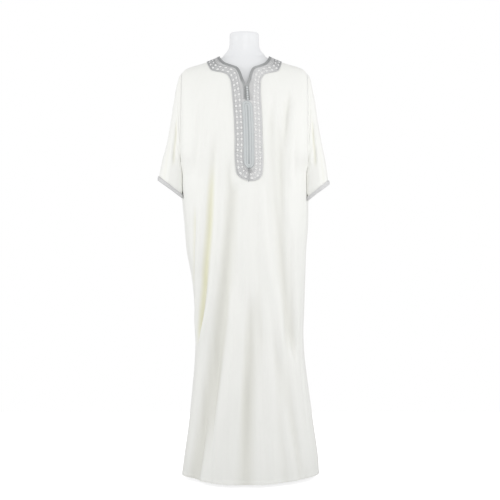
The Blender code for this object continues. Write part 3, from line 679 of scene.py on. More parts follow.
# %% [markdown]
# ## Satin weave
# In satin each warp thread floats over seven wefts and dives under one, and the dives of
# neighbouring threads are shifted, so the face looks smooth and shiny. Threads half a millimetre
# wide would need millions of faces, so they are drawn by nodes: the round of each thread, its
# dives, and the faint uneven streaks of the yarn.

# %% Satin group
satin_tree, given, out = group(
    "satin weave",
    [("UV", "Vector", None), ("Thread width", "Float", 0.0005), ("Colour", "Color", None),
     ("Streak colour", "Color", None)],
    [("Colour", "Color", None), ("Height", "Float", None), ("Gloss change", "Float", None)],
)
t = satin_tree
WEFTS_IN_A_FLOAT, FLOAT_SHIFT = 8.0, 0.625
split = node(t, "SeparateXYZ", {0: given.outputs["UV"]})
across = maths(t, "DIVIDE", split.outputs[0], given.outputs["Thread width"])
down = maths(t, "DIVIDE", split.outputs[1], given.outputs["Thread width"])
turns = maths(t, "MULTIPLY", across, math.pi)
rounded = maths(t, "ABSOLUTE", maths(t, "SINE", turns))
shift = maths(t, "MULTIPLY", maths(t, "FLOOR", across), FLOAT_SHIFT)
float_place = maths(t, "FRACT", maths(t, "ADD", maths(t, "DIVIDE", down, WEFTS_IN_A_FLOAT), shift))
dive = remap(t, maths(t, "PINGPONG", float_place, 0.5), (0.0, 0.09), (0.0, 1.0))
streak = noise(t, given.outputs["UV"], 1.0, 3.0, stretch=(420.0, 5.0, 1.0))
cloud = noise(t, given.outputs["UV"], 1.0, 2.0, stretch=(9.0, 3.0, 1.0))
height = maths(t, "MULTIPLY", rounded, maths(t, "MULTIPLY_ADD", dive, 0.6, 0.4))
height = maths(t, "MULTIPLY_ADD", streak, 0.7, height)
tint = maths(t, "MULTIPLY_ADD", cloud, 0.25, remap(t, streak, (0.35, 0.75), (0.0, 0.55)))
colour = blend_colours(t, tint, given.outputs["Colour"], given.outputs["Streak colour"])
gloss = remap(t, cloud, (0.3, 0.7), (-0.05, 0.05))
for result, label in ((colour, "Colour"), (height, "Height"), (gloss, "Gloss change")):
    t.links.new(result, out.inputs[label])
print("group", satin_tree.name, len(satin_tree.nodes), "nodes")

# %% [markdown]
# ## Twisted thread
# A cord is plied from strands that wind round it, so its surface is a row of slanted ridges. They
# need no mesh of their own, because the cord's map says how far along and how far round each point
# lies. The height is |sin(pi(length / pitch + strands x turn))|, and the grooves get painted shade.

# %% Twist group
twist_tree, given, out = group(
    "twisted thread",
    [("UV", "Vector", None), ("Pitch", "Float", 0.002), ("Strands", "Float", 1.0),
     ("Colour", "Color", None), ("Painted groove shade", "Color", None)],
    [("Colour", "Color", None), ("Height", "Float", None)],
)
t = twist_tree
split = node(t, "SeparateXYZ", {0: given.outputs["UV"]})
along = maths(t, "DIVIDE", split.outputs[0], given.outputs["Pitch"])
phase = maths(t, "MULTIPLY_ADD", split.outputs[1], given.outputs["Strands"], along)
ridge = maths(t, "ABSOLUTE", maths(t, "SINE", maths(t, "MULTIPLY", phase, math.pi)))
ridge = maths(t, "POWER", ridge, 0.6)
fuzz = noise(t, given.outputs["UV"], 900.0, 2.0)
height = maths(t, "MULTIPLY_ADD", fuzz, 0.35, ridge)
# Painted shade: the lower the surface, the more of the groove colour it takes.
shade = remap(t, height, (0.15, 1.1), (0.0, 1.0))
colour = blend_colours(t, shade, given.outputs["Painted groove shade"], given.outputs["Colour"])
t.links.new(colour, out.inputs["Colour"])
t.links.new(height, out.inputs["Height"])
print("group", twist_tree.name, len(twist_tree.nodes), "nodes")


# %% [markdown]
# ## The cloth's and threads' finishes
# Ivory satin is almost white on its folds and turns a warm, slightly olive cream deep inside them,
# where light reaches it only off other ivory cloth. That shade is painted into the cloth's colour: one
# attribute says how deep in a fold each point lies, and so how much painted shade it gets, and
# another how far that painted shade leans from cream to olive.


# %% Cloth finish
SATIN_ROUGHNESS, WEAVE_DEPTH = 0.46, 0.00006


def satin_finish(name, pale, streak, deep, olive, thread_width):
    """Woven satin from pale to streak, which goes over to deep, or to olive, inside the folds: painted
    shade.
    """
    made, tree, shader = finish(
        name, Sheen_Weight=0.12, Sheen_Roughness=0.35, Specular_IOR_Level=0.42, Anisotropic=0.35
    )
    own = {"Thread width": thread_width, "Colour": pale, "Streak colour": streak}
    weave = use(tree, satin_tree, {"UV": thread_uv(tree), **own})
    # Painted shade: inside the folds the colour goes over to the deep colour, or to olive.
    painted_shade_colour = blend_colours(tree, carried(tree, "olive"), deep, olive)
    colour = blend_colours(tree, carried(tree, "hollow"), weave.outputs["Colour"], painted_shade_colour)
    rough = maths(tree, "ADD", weave.outputs["Gloss change"], SATIN_ROUGHNESS)
    feed(tree, shader, Base_Color=colour, Roughness=rough)
    bump(tree, shader, weave.outputs["Height"], WEAVE_DEPTH, 0.8)
    return made


ivory_satin = satin_finish(
    "ivory_satin",
    pale=(0.900, 0.904, 0.876, 1),
    streak=(0.870, 0.873, 0.838, 1),
    # The colours of the painted shade deep inside the folds.
    deep=(0.770, 0.768, 0.715, 1),
    olive=(0.735, 0.712, 0.405, 1),
    thread_width=0.0005,
)
print(ivory_satin.name, "ready")


# %% Thread finishes
DARK_SILK = (0.48, 0.49, 0.50, 1)
GROOVE_DEPTH, RIDGE_GLOSS = 0.0002, 0.12  # a ridge is smoother than its groove by this roughness


def thread_finish(name, colour, groove, pitch, strands, roughness=0.5, metallic=0.0):
    """A silky thread, whose grooves get painted shade. The attribute `tone`, where a piece has one,
    darkens single cords: some for their own dark silk, and as painted shade those on the band's
    left half and on the left cuff.
    """
    made, tree, shader = finish(name, Sheen_Weight=0.2, Metallic=metallic)
    own = {"Pitch": pitch, "Strands": strands, "Colour": colour, "Painted groove shade": groove}
    twist = use(tree, twist_tree, {"UV": thread_uv(tree), **own})
    dark = blend_colours(tree, 1.0, twist.outputs["Colour"], DARK_SILK, "MULTIPLY")
    colour = blend_colours(tree, carried(tree, "tone"), twist.outputs["Colour"], dark)
    groove_roughness = roughness + RIDGE_GLOSS / 2
    rough = maths(tree, "MULTIPLY_ADD", twist.outputs["Height"], -RIDGE_GLOSS, groove_roughness)
    feed(tree, shader, Base_Color=colour, Roughness=rough)
    bump(tree, shader, twist.outputs["Height"], GROOVE_DEPTH, 0.9)
    return made


grey_cord = thread_finish("grey_cord", (0.52, 0.53, 0.53, 1), (0.28, 0.285, 0.29, 1), 0.0028, 1.0)
silver_thread = thread_finish(
    "silver_thread", (0.79, 0.79, 0.79, 1), (0.52, 0.52, 0.525, 1), 0.0016, 1.0, 0.42, 0.15
)
braid_silk = thread_finish(
    "braid_silk", (0.76, 0.79, 0.795, 1), (0.52, 0.545, 0.55, 1), 0.0026, 1.0, 0.42
)
ivory_thread = thread_finish(
    "ivory_thread", (0.91, 0.91, 0.905, 1), (0.72, 0.72, 0.71, 1), 0.0009, 0.0, 0.42
)
ground_stitch = thread_finish(
    "ground_stitch", (0.80, 0.80, 0.798, 1), (0.63, 0.63, 0.63, 1), 0.0010, 0.0, 0.5, 0.1
)
print("threads:", grey_cord.name, silver_thread.name, braid_silk.name, ivory_thread.name, ground_stitch.name)

# %% [markdown]
# ## Front and back panels
# Each panel is cut in one piece from shoulder to hem. Cutting a neck hole out of a finished mesh
# would leave a ragged edge, so the grid itself follows the neck: its columns start evenly along the
# top edge, which runs over the shoulders and down round the neck, and fan out to an even spacing
# round the hips. At the hem the outer face steps out, where the cloth is turned up.

# %% Neck edge
NECK_COLUMNS = "edge edge_drop band band_drop"
NECK_FRONT = table(
    NECK_COLUMNS,
    [
        (0.0850, 0.0000, 0.1300, 0.0000),
        (0.0835, 0.0080, 0.1245, 0.0210),
        (0.0790, 0.0190, 0.1155, 0.0410),
        (0.0670, 0.0360, 0.0990, 0.0550),
        (0.0480, 0.0510, 0.0800, 0.0660),
        (0.0260, 0.0650, 0.0620, 0.0810),
        (0.0165, 0.0820, 0.0525, 0.1010),
        (0.0105, 0.1030, 0.0495, 0.1230),
        (0.0000, 0.1325, 0.0482, 0.1480),
    ],
)
NECK_BACK = table(
    NECK_COLUMNS,
    [
        (0.0850, 0.0000, 0.1300, 0.0000),
        (0.0800, 0.0090, 0.1170, 0.0260),
        (0.0680, 0.0170, 0.0970, 0.0460),
        (0.0450, 0.0240, 0.0640, 0.0610),
        (0.0220, 0.0275, 0.0310, 0.0680),
        (0.0000, 0.0285, 0.0000, 0.0700),
    ],
)
NECK = {"front": NECK_FRONT, "back": NECK_BACK}
BAND_TOP_ACROSS = 0.1300
HIP = 1.4  # the level at which a panel's columns are evenly spaced
YOKE_SPACING = 1.35  # over 1, so that rows lie closer together at the shoulder
HEM_ROWS = np.array([0.0132, 0.0126, 0.0118, 0.006, 0.0])  # rows at the turned hem, above its edge
HEM_SHARE = 0.0165  # the skirt's share that they take up
print(f"neck opening {2 * NECK_FRONT['edge'][0]:.3f} m across")


# %% Panel grid
def top_edge(side):
    """x and the drop below the shoulder seam along a panel's top edge, from left to right."""
    rows = NECK[side]
    index = np.arange(len(rows), dtype=float)
    fine = np.linspace(0, index[-1], 160)
    x, drop = (smooth(fine, index, rows[n]) for n in ("edge", "edge_drop"))
    x, drop = np.concatenate([-x, x[-2::-1]]), np.concatenate([drop, drop[-2::-1]])
    x = x + slit_x(drop) * (side == "front")
    left, right = (float(half_width(UNDERARM_Z, sign)) for sign in (-1, 1))
    outer_left, outer_right = np.linspace(-left, x[0], 40)[:-1], np.linspace(x[-1], right, 40)[1:]
    x = np.concatenate([outer_left, x, outer_right])
    return x, np.concatenate([0 * outer_left, drop, 0 * outer_right])


def panel_grid(side, columns, yoke_rows, skirt_rows):
    """Angles and w of a panel's points. A column starts at equal steps along the top edge and ends
    at equal steps round the hip; its angle eases from one to the other, as it runs down."""
    x, drop = top_edge(side)
    run = run_along(np.stack([x, shoulder_z(x) - drop], axis=-1))
    even = np.linspace(0, run[-1], columns + 1)
    x_top, drop_top = np.interp(even, run, x), np.interp(even, run, drop)
    angle_top, w_top = body_place(x_top, shoulder_z(x_top) - drop_top)
    angle = np.linspace(-np.pi / 2, np.pi / 2, 1200)
    hip_x, hip_depth, _ = smooth_body(side, angle, np.full_like(angle, HIP))
    run = run_along(np.stack([hip_x, hip_depth], axis=-1))
    angle_low = np.interp(np.linspace(0, run[-1], columns + 1), run, angle)
    turn = np.linspace(0, 1, yoke_rows + 1)[:, None] ** YOKE_SPACING * np.pi / 2
    yoke = 1 - np.cos(turn) ** (2 / SHOULDER_ROUNDING)
    skirt = 1 + np.linspace(0, 1, skirt_rows + 1)[1:, None] * (1 - HEM_SHARE)
    hem = 2 - HEM_ROWS / (UNDERARM_Z - HEM_Z)
    rows = np.concatenate([yoke, skirt, hem[:, None]])
    angle = angle_top + (angle_low - angle_top) * ease(rows)
    w = np.where(rows < 1, w_top + (1 - w_top) * rows, rows)
    return angle, w


# %% Cloth map and shade
HEM_TURN, HEM_STEP, HEM_SLOPE = 0.0128, 0.0005, 0.0012  # the turned hem's height, step and slope
SEAM_DIP, SEAM_DIP_WIDTH = 0.0006, 0.004  # the outer face sinks into a seam
SIDE_RADIUS = 0.2  # turns an angle beside a side seam into metres, nearly enough
# A fold's painted shade: how much of the deep colour it takes, and the depth by which it has all of it.
FOLD_SHADE, FOLD_SHADE_DEPTH = 0.85, 0.018
# A fainter painted shade, full already in shallow folds.
FIRST_SHADE, FIRST_SHADE_DEPTH = 0.12, 0.004
# Where the painted shade turns olive: the long fold on the front's left, its foot, top and fade, and its
# edge.
OLIVE_LOW, OLIVE_HIGH, OLIVE_FADE = 0.42, 1.12, 0.12
OLIVE_ASIDE, OLIVE_SLANT, OLIVE_SLANT_Z, OLIVE_EDGE = 0.085, 0.12, 0.9, 0.03


def lengths(points):
    """A cloth map in metres: the distance along each row from its middle, and down each column."""
    across = np.cumsum(np.linalg.norm(np.diff(points, axis=1, prepend=points[:, :1]), axis=-1), axis=1)
    across -= across[:, across.shape[1] // 2][:, None]
    down = np.cumsum(np.linalg.norm(np.diff(points, axis=0, prepend=points[:1]), axis=-1), axis=0)
    return np.stack([across, down], axis=-1)


def olive_share(side, x, z):
    """1 in the long fold on the front's left, where the painted shade turns olive, and 0 elsewhere. Its
    edge slants outwards below OLIVE_SLANT_Z, and it fades at its top, its foot and its edge."""
    edge = OLIVE_ASIDE + OLIVE_SLANT * np.clip(OLIVE_SLANT_Z - z, 0, 1)
    ends = ease((z - OLIVE_LOW) / OLIVE_FADE) * ease((OLIVE_HIGH - z) / OLIVE_FADE)
    return ends * ease((-x - edge) / OLIVE_EDGE) * (side == "front")


# %% Panels
def panel(side, columns, yoke_rows, skirt_rows):
    """A wall round the folded surface: half its thickness out and half in along the normal, with a
    step out at the turned hem and a dip at the side seams."""
    angle, w = panel_grid(side, columns, yoke_rows, skirt_rows)
    middle, normal = body_frame(side, angle, w)
    push = body_push(side, angle, w)[-1]
    step = HEM_STEP * ease((HEM_Z + HEM_TURN - level(w, 0.0)) / HEM_SLOPE)
    from_seam = (np.pi / 2 - np.abs(angle)) * SIDE_RADIUS
    dip = SEAM_DIP * (1 - ease(from_seam / SEAM_DIP_WIDTH))
    outer = middle + (CLOTH / 2 + step - dip)[..., None] * normal
    inner = middle - CLOTH / 2 * normal
    # Painted shade in the cloth's colour, more where the folds press in deeper.
    hollow = FOLD_SHADE * ease(push / FOLD_SHADE_DEPTH) + FIRST_SHADE * ease(push / FIRST_SHADE_DEPTH)
    # The painted shade turns olive in the long fold on the front's left.
    olive = olive_share(side, middle[..., 0], middle[..., 2])
    obj = wall(f"{side}_cloth", outer, inner, lengths(middle), hollow=hollow, olive=olive)
    down, across = middle[1:, :-1] - middle[:-1, :-1], middle[:-1, 1:] - middle[:-1, :-1]
    area = np.linalg.norm(np.cross(down, across), axis=-1).sum()
    print(f"{side}: area {area:.3f} m2, hem {run_along(middle[-1])[-1]:.3f} m")
    return dress(obj, ivory_satin, "cloth", side)


front = panel("front", columns=190, yoke_rows=64, skirt_rows=150)
back = panel("back", columns=150, yoke_rows=52, skirt_rows=120)

# %% [markdown]
# ## Sleeves
# A sleeve is a tube from the armhole to a slanted cuff. One tube of rings keeps the sleeve open at
# both ends, and its first ring is the armhole's own outline, so that it meets the body without a
# gap. Every ring is flattened: its top follows the upper edge, its bottom runs from the underarm
# down the body's side, and its depth eases from the armhole's to the cuff's. Folds run down it from
# the shoulder point, where the cloth breaks over the form.

# %% Sleeve sizes
SLEEVE_TOP = table(
    "left left_z right right_z",
    [
        (0.2186, 1.4175, 0.2200, 1.4155),
        (0.2290, 1.4025, 0.2300, 1.4025),
        (0.2398, 1.3555, 0.2398, 1.3555),
        (0.2465, 1.3148, 0.2480, 1.3148),
        (0.2555, 1.2561, 0.2560, 1.2561),
        (0.2700, 1.1744, 0.2705, 1.1744),
        (0.2885, 1.1042, 0.2845, 1.1042),
        (0.3000, 1.0430, 0.2950, 1.0290),
    ],
)
CUFF_INNER = {"left": (0.2230, 0.9840), "right": (0.2285, 0.9760)}
CUFF_HALF_DEPTH, CUFF_WIDTH = 0.066, 0.0155
CUFF_SQUARENESS, INNER_SQUARENESS = 2.7, 6.0  # of a ring's outer side, and beside the body
SQUARE_FROM, SQUARE_OVER = 0.4, 0.45  # where it changes, as shares of the way down a ring
SLEEVE_CLEARANCE, SLEEVE_STEP = 0.0012, 0.02  # off the body, and the reach over which it opens
CUFF_STAND_OFF = 0.0034  # room for the cuff's trim beside the body
LIES_FROM, LIES_OVER = 0.5, 0.36  # the part of a ring that comes to lie on the body
CUFF_STRAIGHT = 0.35  # the share of the sleeve whose rings keep to the cuff's straight slant
SLEEVE_FOLD_FADE, HOLLOW_FADE = 0.2, 0.06  # shares of the length over which they begin and end
SLEEVE_ROLL = (0.4, 1.8, 0.7)
SLEEVE_HOLLOWS = table(
    "share wide deep",
    [(0.93, 0.035, 0.003), (0.72, 0.14, 0.004), (0.46, 0.12, 0.004), (0.20, 0.12, 0.003)],
)
# Long folds down a sleeve: the turn round it (0 top, 90 degrees front) at its root and at the cuff.
SLEEVE_FOLDS = table(
    "turn_root turn_cuff wide deep start end",
    [
        (1.25, 1.75, 0.24, 0.0032, 0.08, 0.80),
        (0.70, 1.05, 0.22, 0.0016, 0.45, 1.10),
        (2.05, 2.30, 0.24, 0.0018, 0.30, 1.10),
        (5.10, 4.60, 0.18, 0.0032, 0.06, 0.82),
        (5.55, 5.20, 0.22, 0.0018, 0.40, 1.10),
        (4.20, 4.05, 0.24, 0.0020, 0.26, 1.10),
    ],
)
print(len(SLEEVE_FOLDS), "folds down each sleeve")


# %% Sleeve rings
def sleeve_line(side, reach):
    """Top and bottom of the sleeve's ring at a distance from the cuff along its upper edge, its
    share of the way to the armhole, and the whole length."""
    across, z = SLEEVE_TOP[side][::-1], SLEEVE_TOP[f"{side}_z"][::-1]
    fine, index = np.linspace(0, len(z) - 1, 300), np.arange(len(z), dtype=float)
    top = np.stack([smooth(fine, index, across), smooth(fine, index, z)], axis=-1)
    run = run_along(top)
    top_at = np.stack([np.interp(reach, run, top[:, k]) for k in range(2)], axis=-1)
    x_sign = -1.0 if side == "left" else 1.0
    root_x = float(half_width(UNDERARM_Z, x_sign)) + CLOTH / 2 + SEAM_GAP
    inner, underarm = np.array(CUFF_INNER[side]), np.array([root_x, UNDERARM_Z])
    length = np.linalg.norm(underarm - inner)
    share = (1 - np.exp(-reach / length)) / (1 - np.exp(-run[-1] / length))
    bottom_at = inner + (underarm - inner) * share[..., None]
    off_root = SLEEVE_CLEARANCE * ease((run[-1] - reach) / SLEEVE_STEP)
    off_cuff = CUFF_STAND_OFF * ease((2 * CUFF_WIDTH - reach) / CUFF_WIDTH)
    top_at[..., 0] = np.maximum(top_at[..., 0], root_x)
    narrowing = half_width(UNDERARM_Z, x_sign) - half_width(bottom_at[..., 1], x_sign)
    bottom_at[..., 0] = root_x - narrowing + off_root + off_cuff
    return top_at, bottom_at, reach / run[-1], run[-1]


def body_recess(towards_front, z, depth):
    """How far the body's side draws in from its widest at a height and a depth: half the width
    times 1 - (1 - share^n)^(1/n), where share is the depth beyond the armhole over the full one."""
    top = float(SHOULDER["z"][-1])
    w = np.clip((top - z) / (top - UNDERARM_Z), 0, 1)
    z_low = np.minimum(z, UNDERARM_Z)
    full = [smooth(z_low, BODY["z"], BODY[side]) for side in ("front", "back")]
    full = np.where(towards_front, *full)
    n = smooth(z_low, BODY["z"], BODY["squareness"])
    edge = bridged_depth(w)
    share = np.clip((depth / np.maximum(shoulder_curve(w), 0.5) - edge) / (full - edge), 0, 0.95)
    return half_width(z_low, 1.0) * (1 - (1 - share**n) ** (1 / n))


# %% Sleeve surface
def sleeve_push(turn, share):
    """How deep the sleeve's long folds lie at a turn and a share of the way to the armhole: the sum
    of depth x trough(o) x |sin turn|, where o is the turn from the fold's own over its width."""
    total, gone = 0 * turn, 1 - share
    for f in SLEEVE_FOLDS:
        at = f["turn_root"] + (f["turn_cuff"] - f["turn_root"]) * gone
        o = (np.mod(turn, 2 * np.pi) - at) / f["wide"]
        ends = ease((gone - f["start"]) / SLEEVE_FOLD_FADE) * ease((f["end"] - gone) / SLEEVE_FOLD_FADE)
        total = total + f["deep"] * ends * trough(o, *SLEEVE_ROLL)
    return total * np.abs(np.sin(turn))


def sleeve_point(side, turn, reach):
    """The ring's height and width go from top to bottom with (1 - cos turn) / 2, and its depth is
    |sin turn| to a power at the cuff, blended into the armhole's own outline at the root. Low down,
    the sleeve lies against the body's side and follows it round."""
    top, bottom, share, _ = sleeve_line(side, reach)
    down = (1 - np.cos(turn)) / 2
    flat = top + (bottom - top) * down[..., None]
    root = shoulder_curve(down) * armhole_depth(down) + SEAM_GAP / 2
    n = CUFF_SQUARENESS + (INNER_SQUARENESS - CUFF_SQUARENESS) * ease((down - SQUARE_FROM) / SQUARE_OVER)
    cuff = CUFF_HALF_DEPTH * np.abs(np.sin(turn)) ** (2 / n)
    depth = cuff + (root - cuff) * ease(share)
    for f in SLEEVE_HOLLOWS:
        o = (share - f["share"]) / f["wide"]
        depth = depth - f["deep"] * np.exp(-o * o) * np.sin(turn) ** 2 * ease((1 - share) / HOLLOW_FADE)
    depth = depth - sleeve_push(turn, share)
    in_front = np.sin(turn) >= 0
    x, z = flat[..., 0], flat[..., 1]
    against = np.minimum(bottom[..., 0] - body_recess(in_front, z, depth), x)
    x = x + (against - x) * ease((down - LIES_FROM) / LIES_OVER)
    across = np.maximum(top[..., 0] - bottom[..., 0], 0.02)
    straight = top[..., 1] - (top[..., 1] - bottom[..., 1]) * (top[..., 0] - x) / across
    z = z + (straight - z) * ease(1 - share / CUFF_STRAIGHT)
    mirrored = -1.0 if side == "left" else 1.0
    return np.stack([mirrored * x, np.where(in_front, -depth, depth), z], axis=-1)


# %% Sleeve frame
def sleeve_frame(side, turn, reach):
    """Points of a sleeve's rings and their unit normals, as the cross product of the two slopes,
    turned outwards. At the armhole the wall is level with the armhole's plane."""
    middle = sleeve_point(side, turn, reach)
    round_it = sleeve_point(side, turn + STEP, reach) - sleeve_point(side, turn - STEP, reach)
    up = np.maximum(reach - STEP, 0)
    along = sleeve_point(side, turn, reach + STEP) - sleeve_point(side, turn, up)
    normal = unit(np.cross(along, round_it)) * (-1.0 if side == "left" else 1.0)
    out = (normal * (middle - middle.mean(axis=1, keepdims=True))).sum(-1)
    normal = normal * np.sign(out.sum())
    root = np.isclose(reach, sleeve_line(side, reach)[3])
    level_normal = unit(np.stack([0 * turn, -round_it[..., 2], round_it[..., 1]], axis=-1))
    facing = np.sign((level_normal * normal).sum(-1, keepdims=True))
    return middle, np.where(root[..., None], level_normal * facing, normal)


# %% Sleeves
SLEEVE_ROWS, SLEEVE_COLUMNS = 91, 128
# Painted shade in the sleeve's folds: how much, the fold depth at which it is full, and how far it leans
# olive.
SLEEVE_SHADE, SLEEVE_SHADE_DEPTH, SLEEVE_OLIVE = 0.4, 0.004, 0.6


def sleeve(side):
    """A wall round the sleeve's surface, half its thickness out and half in along the normal."""
    length = float(sleeve_line(side, np.zeros(1))[3])
    down = np.linspace(length, 0, SLEEVE_ROWS)
    reach, turn = np.meshgrid(down, full_turn(SLEEVE_COLUMNS), indexing="ij")
    middle, normal = sleeve_frame(side, turn, reach)
    dip = SEAM_DIP * (1 - ease((length - reach) / SEAM_DIP_WIDTH))
    outer = middle + (CLOTH / 2 - dip)[..., None] * normal
    inner = middle - CLOTH / 2 * normal
    closed = np.concatenate([middle, middle[:, :1]], axis=1)
    # Painted shade in the sleeve's long folds.
    hollow = SLEEVE_SHADE * ease(sleeve_push(turn, reach / length) / SLEEVE_SHADE_DEPTH)
    olive = np.full_like(reach, SLEEVE_OLIVE)
    obj = wall(f"sleeve_{side}_cloth", outer, inner, lengths(closed), True, hollow=hollow, olive=olive)
    girth = run_along(closed[SLEEVE_ROWS // 2])[-1]
    print(f"{obj.name}: {length:.3f} m long, {girth:.3f} m round")
    return dress(obj, ivory_satin, "cloth", f"sleeve_{side}")


sleeves = {side: sleeve(side) for side in ("left", "right")}


# %% [markdown]
# ## Lanes along the embroidered band
# The band runs from one shoulder round the neck, down one side of the slit, round its foot and up
# the other side. Everything sewn on it follows it, so the band gets its own two directions: the
# run `s` along it in metres, and a lane, in metres in from its outer edge or out from its inner
# one. `Band` turns these into points on the cloth, whatever the cloth's own shape there, so that
# no trim has to be shrunk onto the cloth afterwards.

# %% Band layout
SLIT_EDGE = 0.0002
PLACKET = table(
    NECK_COLUMNS,
    [
        (SLIT_EDGE, 0.165, 0.0478, 0.170),
        (SLIT_EDGE, 0.200, 0.0475, 0.200),
        (SLIT_EDGE, 0.300, 0.0465, 0.300),
    ],
)
FOOT_CENTRE = BAND_FOOT_DROP - BAND_HALF_WIDTH
BAND_ROWS, ROW_CROWDING = 2400, 2.5  # rows along half the band, closer together at the shoulder
INNER_WEIGHT, RUN_SHARE = 0.3, 0.7  # how much an inner step counts, and where the run is measured
ON_CLOTH = CLOTH / 2 + LAY_GAP  # the underside of what lies on a panel
ON_BAND = ON_CLOTH + TRIM  # the band's face


def band_rows(side):
    """Rows from a shoulder to the middle, each with its inner and its outer end. In front the foot
    is a quarter of a circle round FOOT_CENTRE."""
    rows = [tuple(r) for r in NECK[side]]
    if side == "front":
        turn = np.linspace(0, math.pi / 2, 8)
        x, down = BAND_HALF_WIDTH * np.cos(turn), BAND_HALF_WIDTH * np.sin(turn)
        foot = [(SLIT_EDGE, FOOT_CENTRE, *end) for end in zip(x, FOOT_CENTRE + down)]
        rows = rows + [tuple(r) for r in PLACKET] + foot
    return np.array(rows)


# %% Points on a panel
def out_from(side, x, z, out):
    """Points that stand out from a panel along its normal, given x and z, and the normals."""
    angle, w = body_place(np.atleast_2d(x), np.atleast_2d(z))
    middle, normal = body_frame(side, angle, w)
    middle, normal = (v.reshape(np.shape(x) + (3,)) for v in (middle, normal))
    return middle + np.asarray(out)[..., None] * normal, normal


def on_panel(side, x, drop, out):
    """The same, given x and the drop below the shoulder seam."""
    return out_from(side, x, shoulder_z(np.minimum(np.abs(x), BAND_TOP_ACROSS)) - drop, out)


# %% The band's own directions
class Band:
    """The band on one panel: rows that join its inner edge to its outer, and their run."""

    def __init__(self, side):
        """Fine rows down the left half, mirrored for the right, and the run and width at each. The
        step across the middle, from one half to the other, doesn't count."""
        self.side = side
        rows = band_rows(side)
        inner_step, outer_step = (np.hypot(*np.diff(end, axis=0).T) for end in (rows[:, :2], rows[:, 2:]))
        knots = np.concatenate([[0], np.cumsum(outer_step + INNER_WEIGHT * inner_step)])
        fine = knots[-1] * np.linspace(0, 1, BAND_ROWS) ** ROW_CROWDING
        half = np.stack([smooth(fine, knots, rows[:, k]) for k in range(4)], axis=-1)
        left = half * (-1, 1, -1, 1)
        full = np.concatenate([left, half[::-1]])
        self.rows = full
        middle = self.place(full, RUN_SHARE, 0.0)[0]
        gone = np.linalg.norm(np.diff(middle, axis=0), axis=-1)
        gone[len(half) - 1] = 0
        self.run = np.concatenate([[0], np.cumsum(gone + 1e-9)])  # it has to grow at every row
        self.length = float(self.run[-1])
        ends = [self.place(full, share, 0.0)[0] for share in (0.0, 1.0)]
        self.width = np.linalg.norm(ends[1] - ends[0], axis=-1)

    def place(self, rows, share, out):
        """Points and normals at a share of the way from the inner to the outer edge."""
        x = rows[..., 0] + (rows[..., 2] - rows[..., 0]) * share
        drop = rows[..., 1] + (rows[..., 3] - rows[..., 1]) * share
        x = x + slit_x(drop) * (self.side == "front")
        return on_panel(self.side, x, drop, out)

    def at(self, s, out, from_outer=None, from_inner=None, share=None):
        """Points and normals at a run s, in a lane measured from either edge."""
        s = np.clip(s, 0, self.length)
        rows = np.stack([np.interp(s, self.run, self.rows[:, k]) for k in range(4)], axis=-1)
        width = np.interp(s, self.run, self.width)
        if from_outer is not None:
            share = 1 - from_outer / width
        elif from_inner is not None:
            share = from_inner / width
        return self.place(rows, share, out)

    def run_where(self, drop):
        """The run at which the left half's inner edge first reaches a drop."""
        half = len(self.rows) // 2
        return float(np.interp(drop, self.rows[:half, 1], self.run[:half]))


bands = {side: Band(side) for side in ("front", "back")}
for side, band in bands.items():
    print(f"{side} band: {band.length:.3f} m long")

# %% Band tones
# The first value is painted shade on the band's left half, the side away from the light.
LEFT_PAINTED_SHADE, FOOT_CHANGE = 0.27, 0.04
SHOULDER_DARK, SHOULDER_FADE = 0.02, 0.12  # metres from the band's end


def shoulder_tone(s, band):
    """How dark the band's threads are: 1 at its ends on the shoulder, easing to 0 below it."""
    return 1 - ease((np.minimum(s, band.length - s) - SHOULDER_DARK) / SHOULDER_FADE)


def band_tone(s, band, on_shoulder):
    """The left half's slight darkening, painted shade on the side away from the light, which eases out
    under the foot, and towards the shoulder a darkening of its own."""
    left = LEFT_PAINTED_SHADE * ease(((band.length / 2 - s) / FOOT_CHANGE + 1) / 2)
    return left + (on_shoulder - left) * shoulder_tone(s, band)


# %% [markdown]
# ## Band ground
# Under the raised work lies a strip of cloth covered with close satin stitch. Single stitches are
# too fine to model, so it is a thin wall between two lanes, and its map runs along the stitches.

# %% Ground
GROUND_POINTS, STITCHED_WIDTH = {"front": 330, "back": 110}, 0.045
grounds = {}
for side, band in bands.items():
    run = np.linspace(0, band.length, GROUND_POINTS[side])
    s, share = np.meshgrid(run, np.linspace(0, 1, 12), indexing="ij")
    outer, _ = band.at(s, ON_BAND, share=share)
    inner, _ = band.at(s, ON_CLOTH, share=share)
    uv = np.stack([s, share * STITCHED_WIDTH], axis=-1)
    piece = wall(f"band_ground_{side}", outer, inner, uv, tone=band_tone(s, band, 1.0))
    grounds[side] = dress(piece, ground_stitch, "embroidery", f"band_{side}")

# %% [markdown]
# ## Cords along the edges
# Silk cords are couched down side by side: four dark ones round the neck and down to the buttons,
# one rounder grey cord along the band's outer edge, and two finer ones further in. Tiny loops,
# called picots, stand out from that edge every three millimetres. Stripes of colour would look
# flat, because real cords shade each other, so every one is swept as a tube along its lane.

# %% Neck cords
NECK_CORD, NECK_SPACING = 0.00125, 0.00255
NECK_CORDS_FOOT = 0.1775  # the drop at which they end, by the buttons
CORD_POINTS = 130
neck_lanes = 0.0011 + NECK_SPACING * np.arange(4)
LANE_TONE = np.array([1.0, 0.45, 0.95, 0.35])
BUTTON_TONE = np.array([[0.0, 0.2, 0.0, 0.0], [0.0, 0.0, 0.05, 0.35]])  # left and right, beside the buttons
front_band, back_band = bands["front"], bands["back"]
left_run = np.linspace(0.0004, front_band.run_where(NECK_CORDS_FOOT), CORD_POINTS)
runs = np.stack([left_run, front_band.length - left_run])


def lay_on_front(lanes, out):
    """Cords down both sides of the slit: lanes is (2, cords, points), in from the inner edge."""
    s = np.broadcast_to(runs[:, None], lanes.shape)
    return front_band.at(s.reshape(-1, CORD_POINTS), out, from_inner=lanes.reshape(-1, CORD_POINTS))


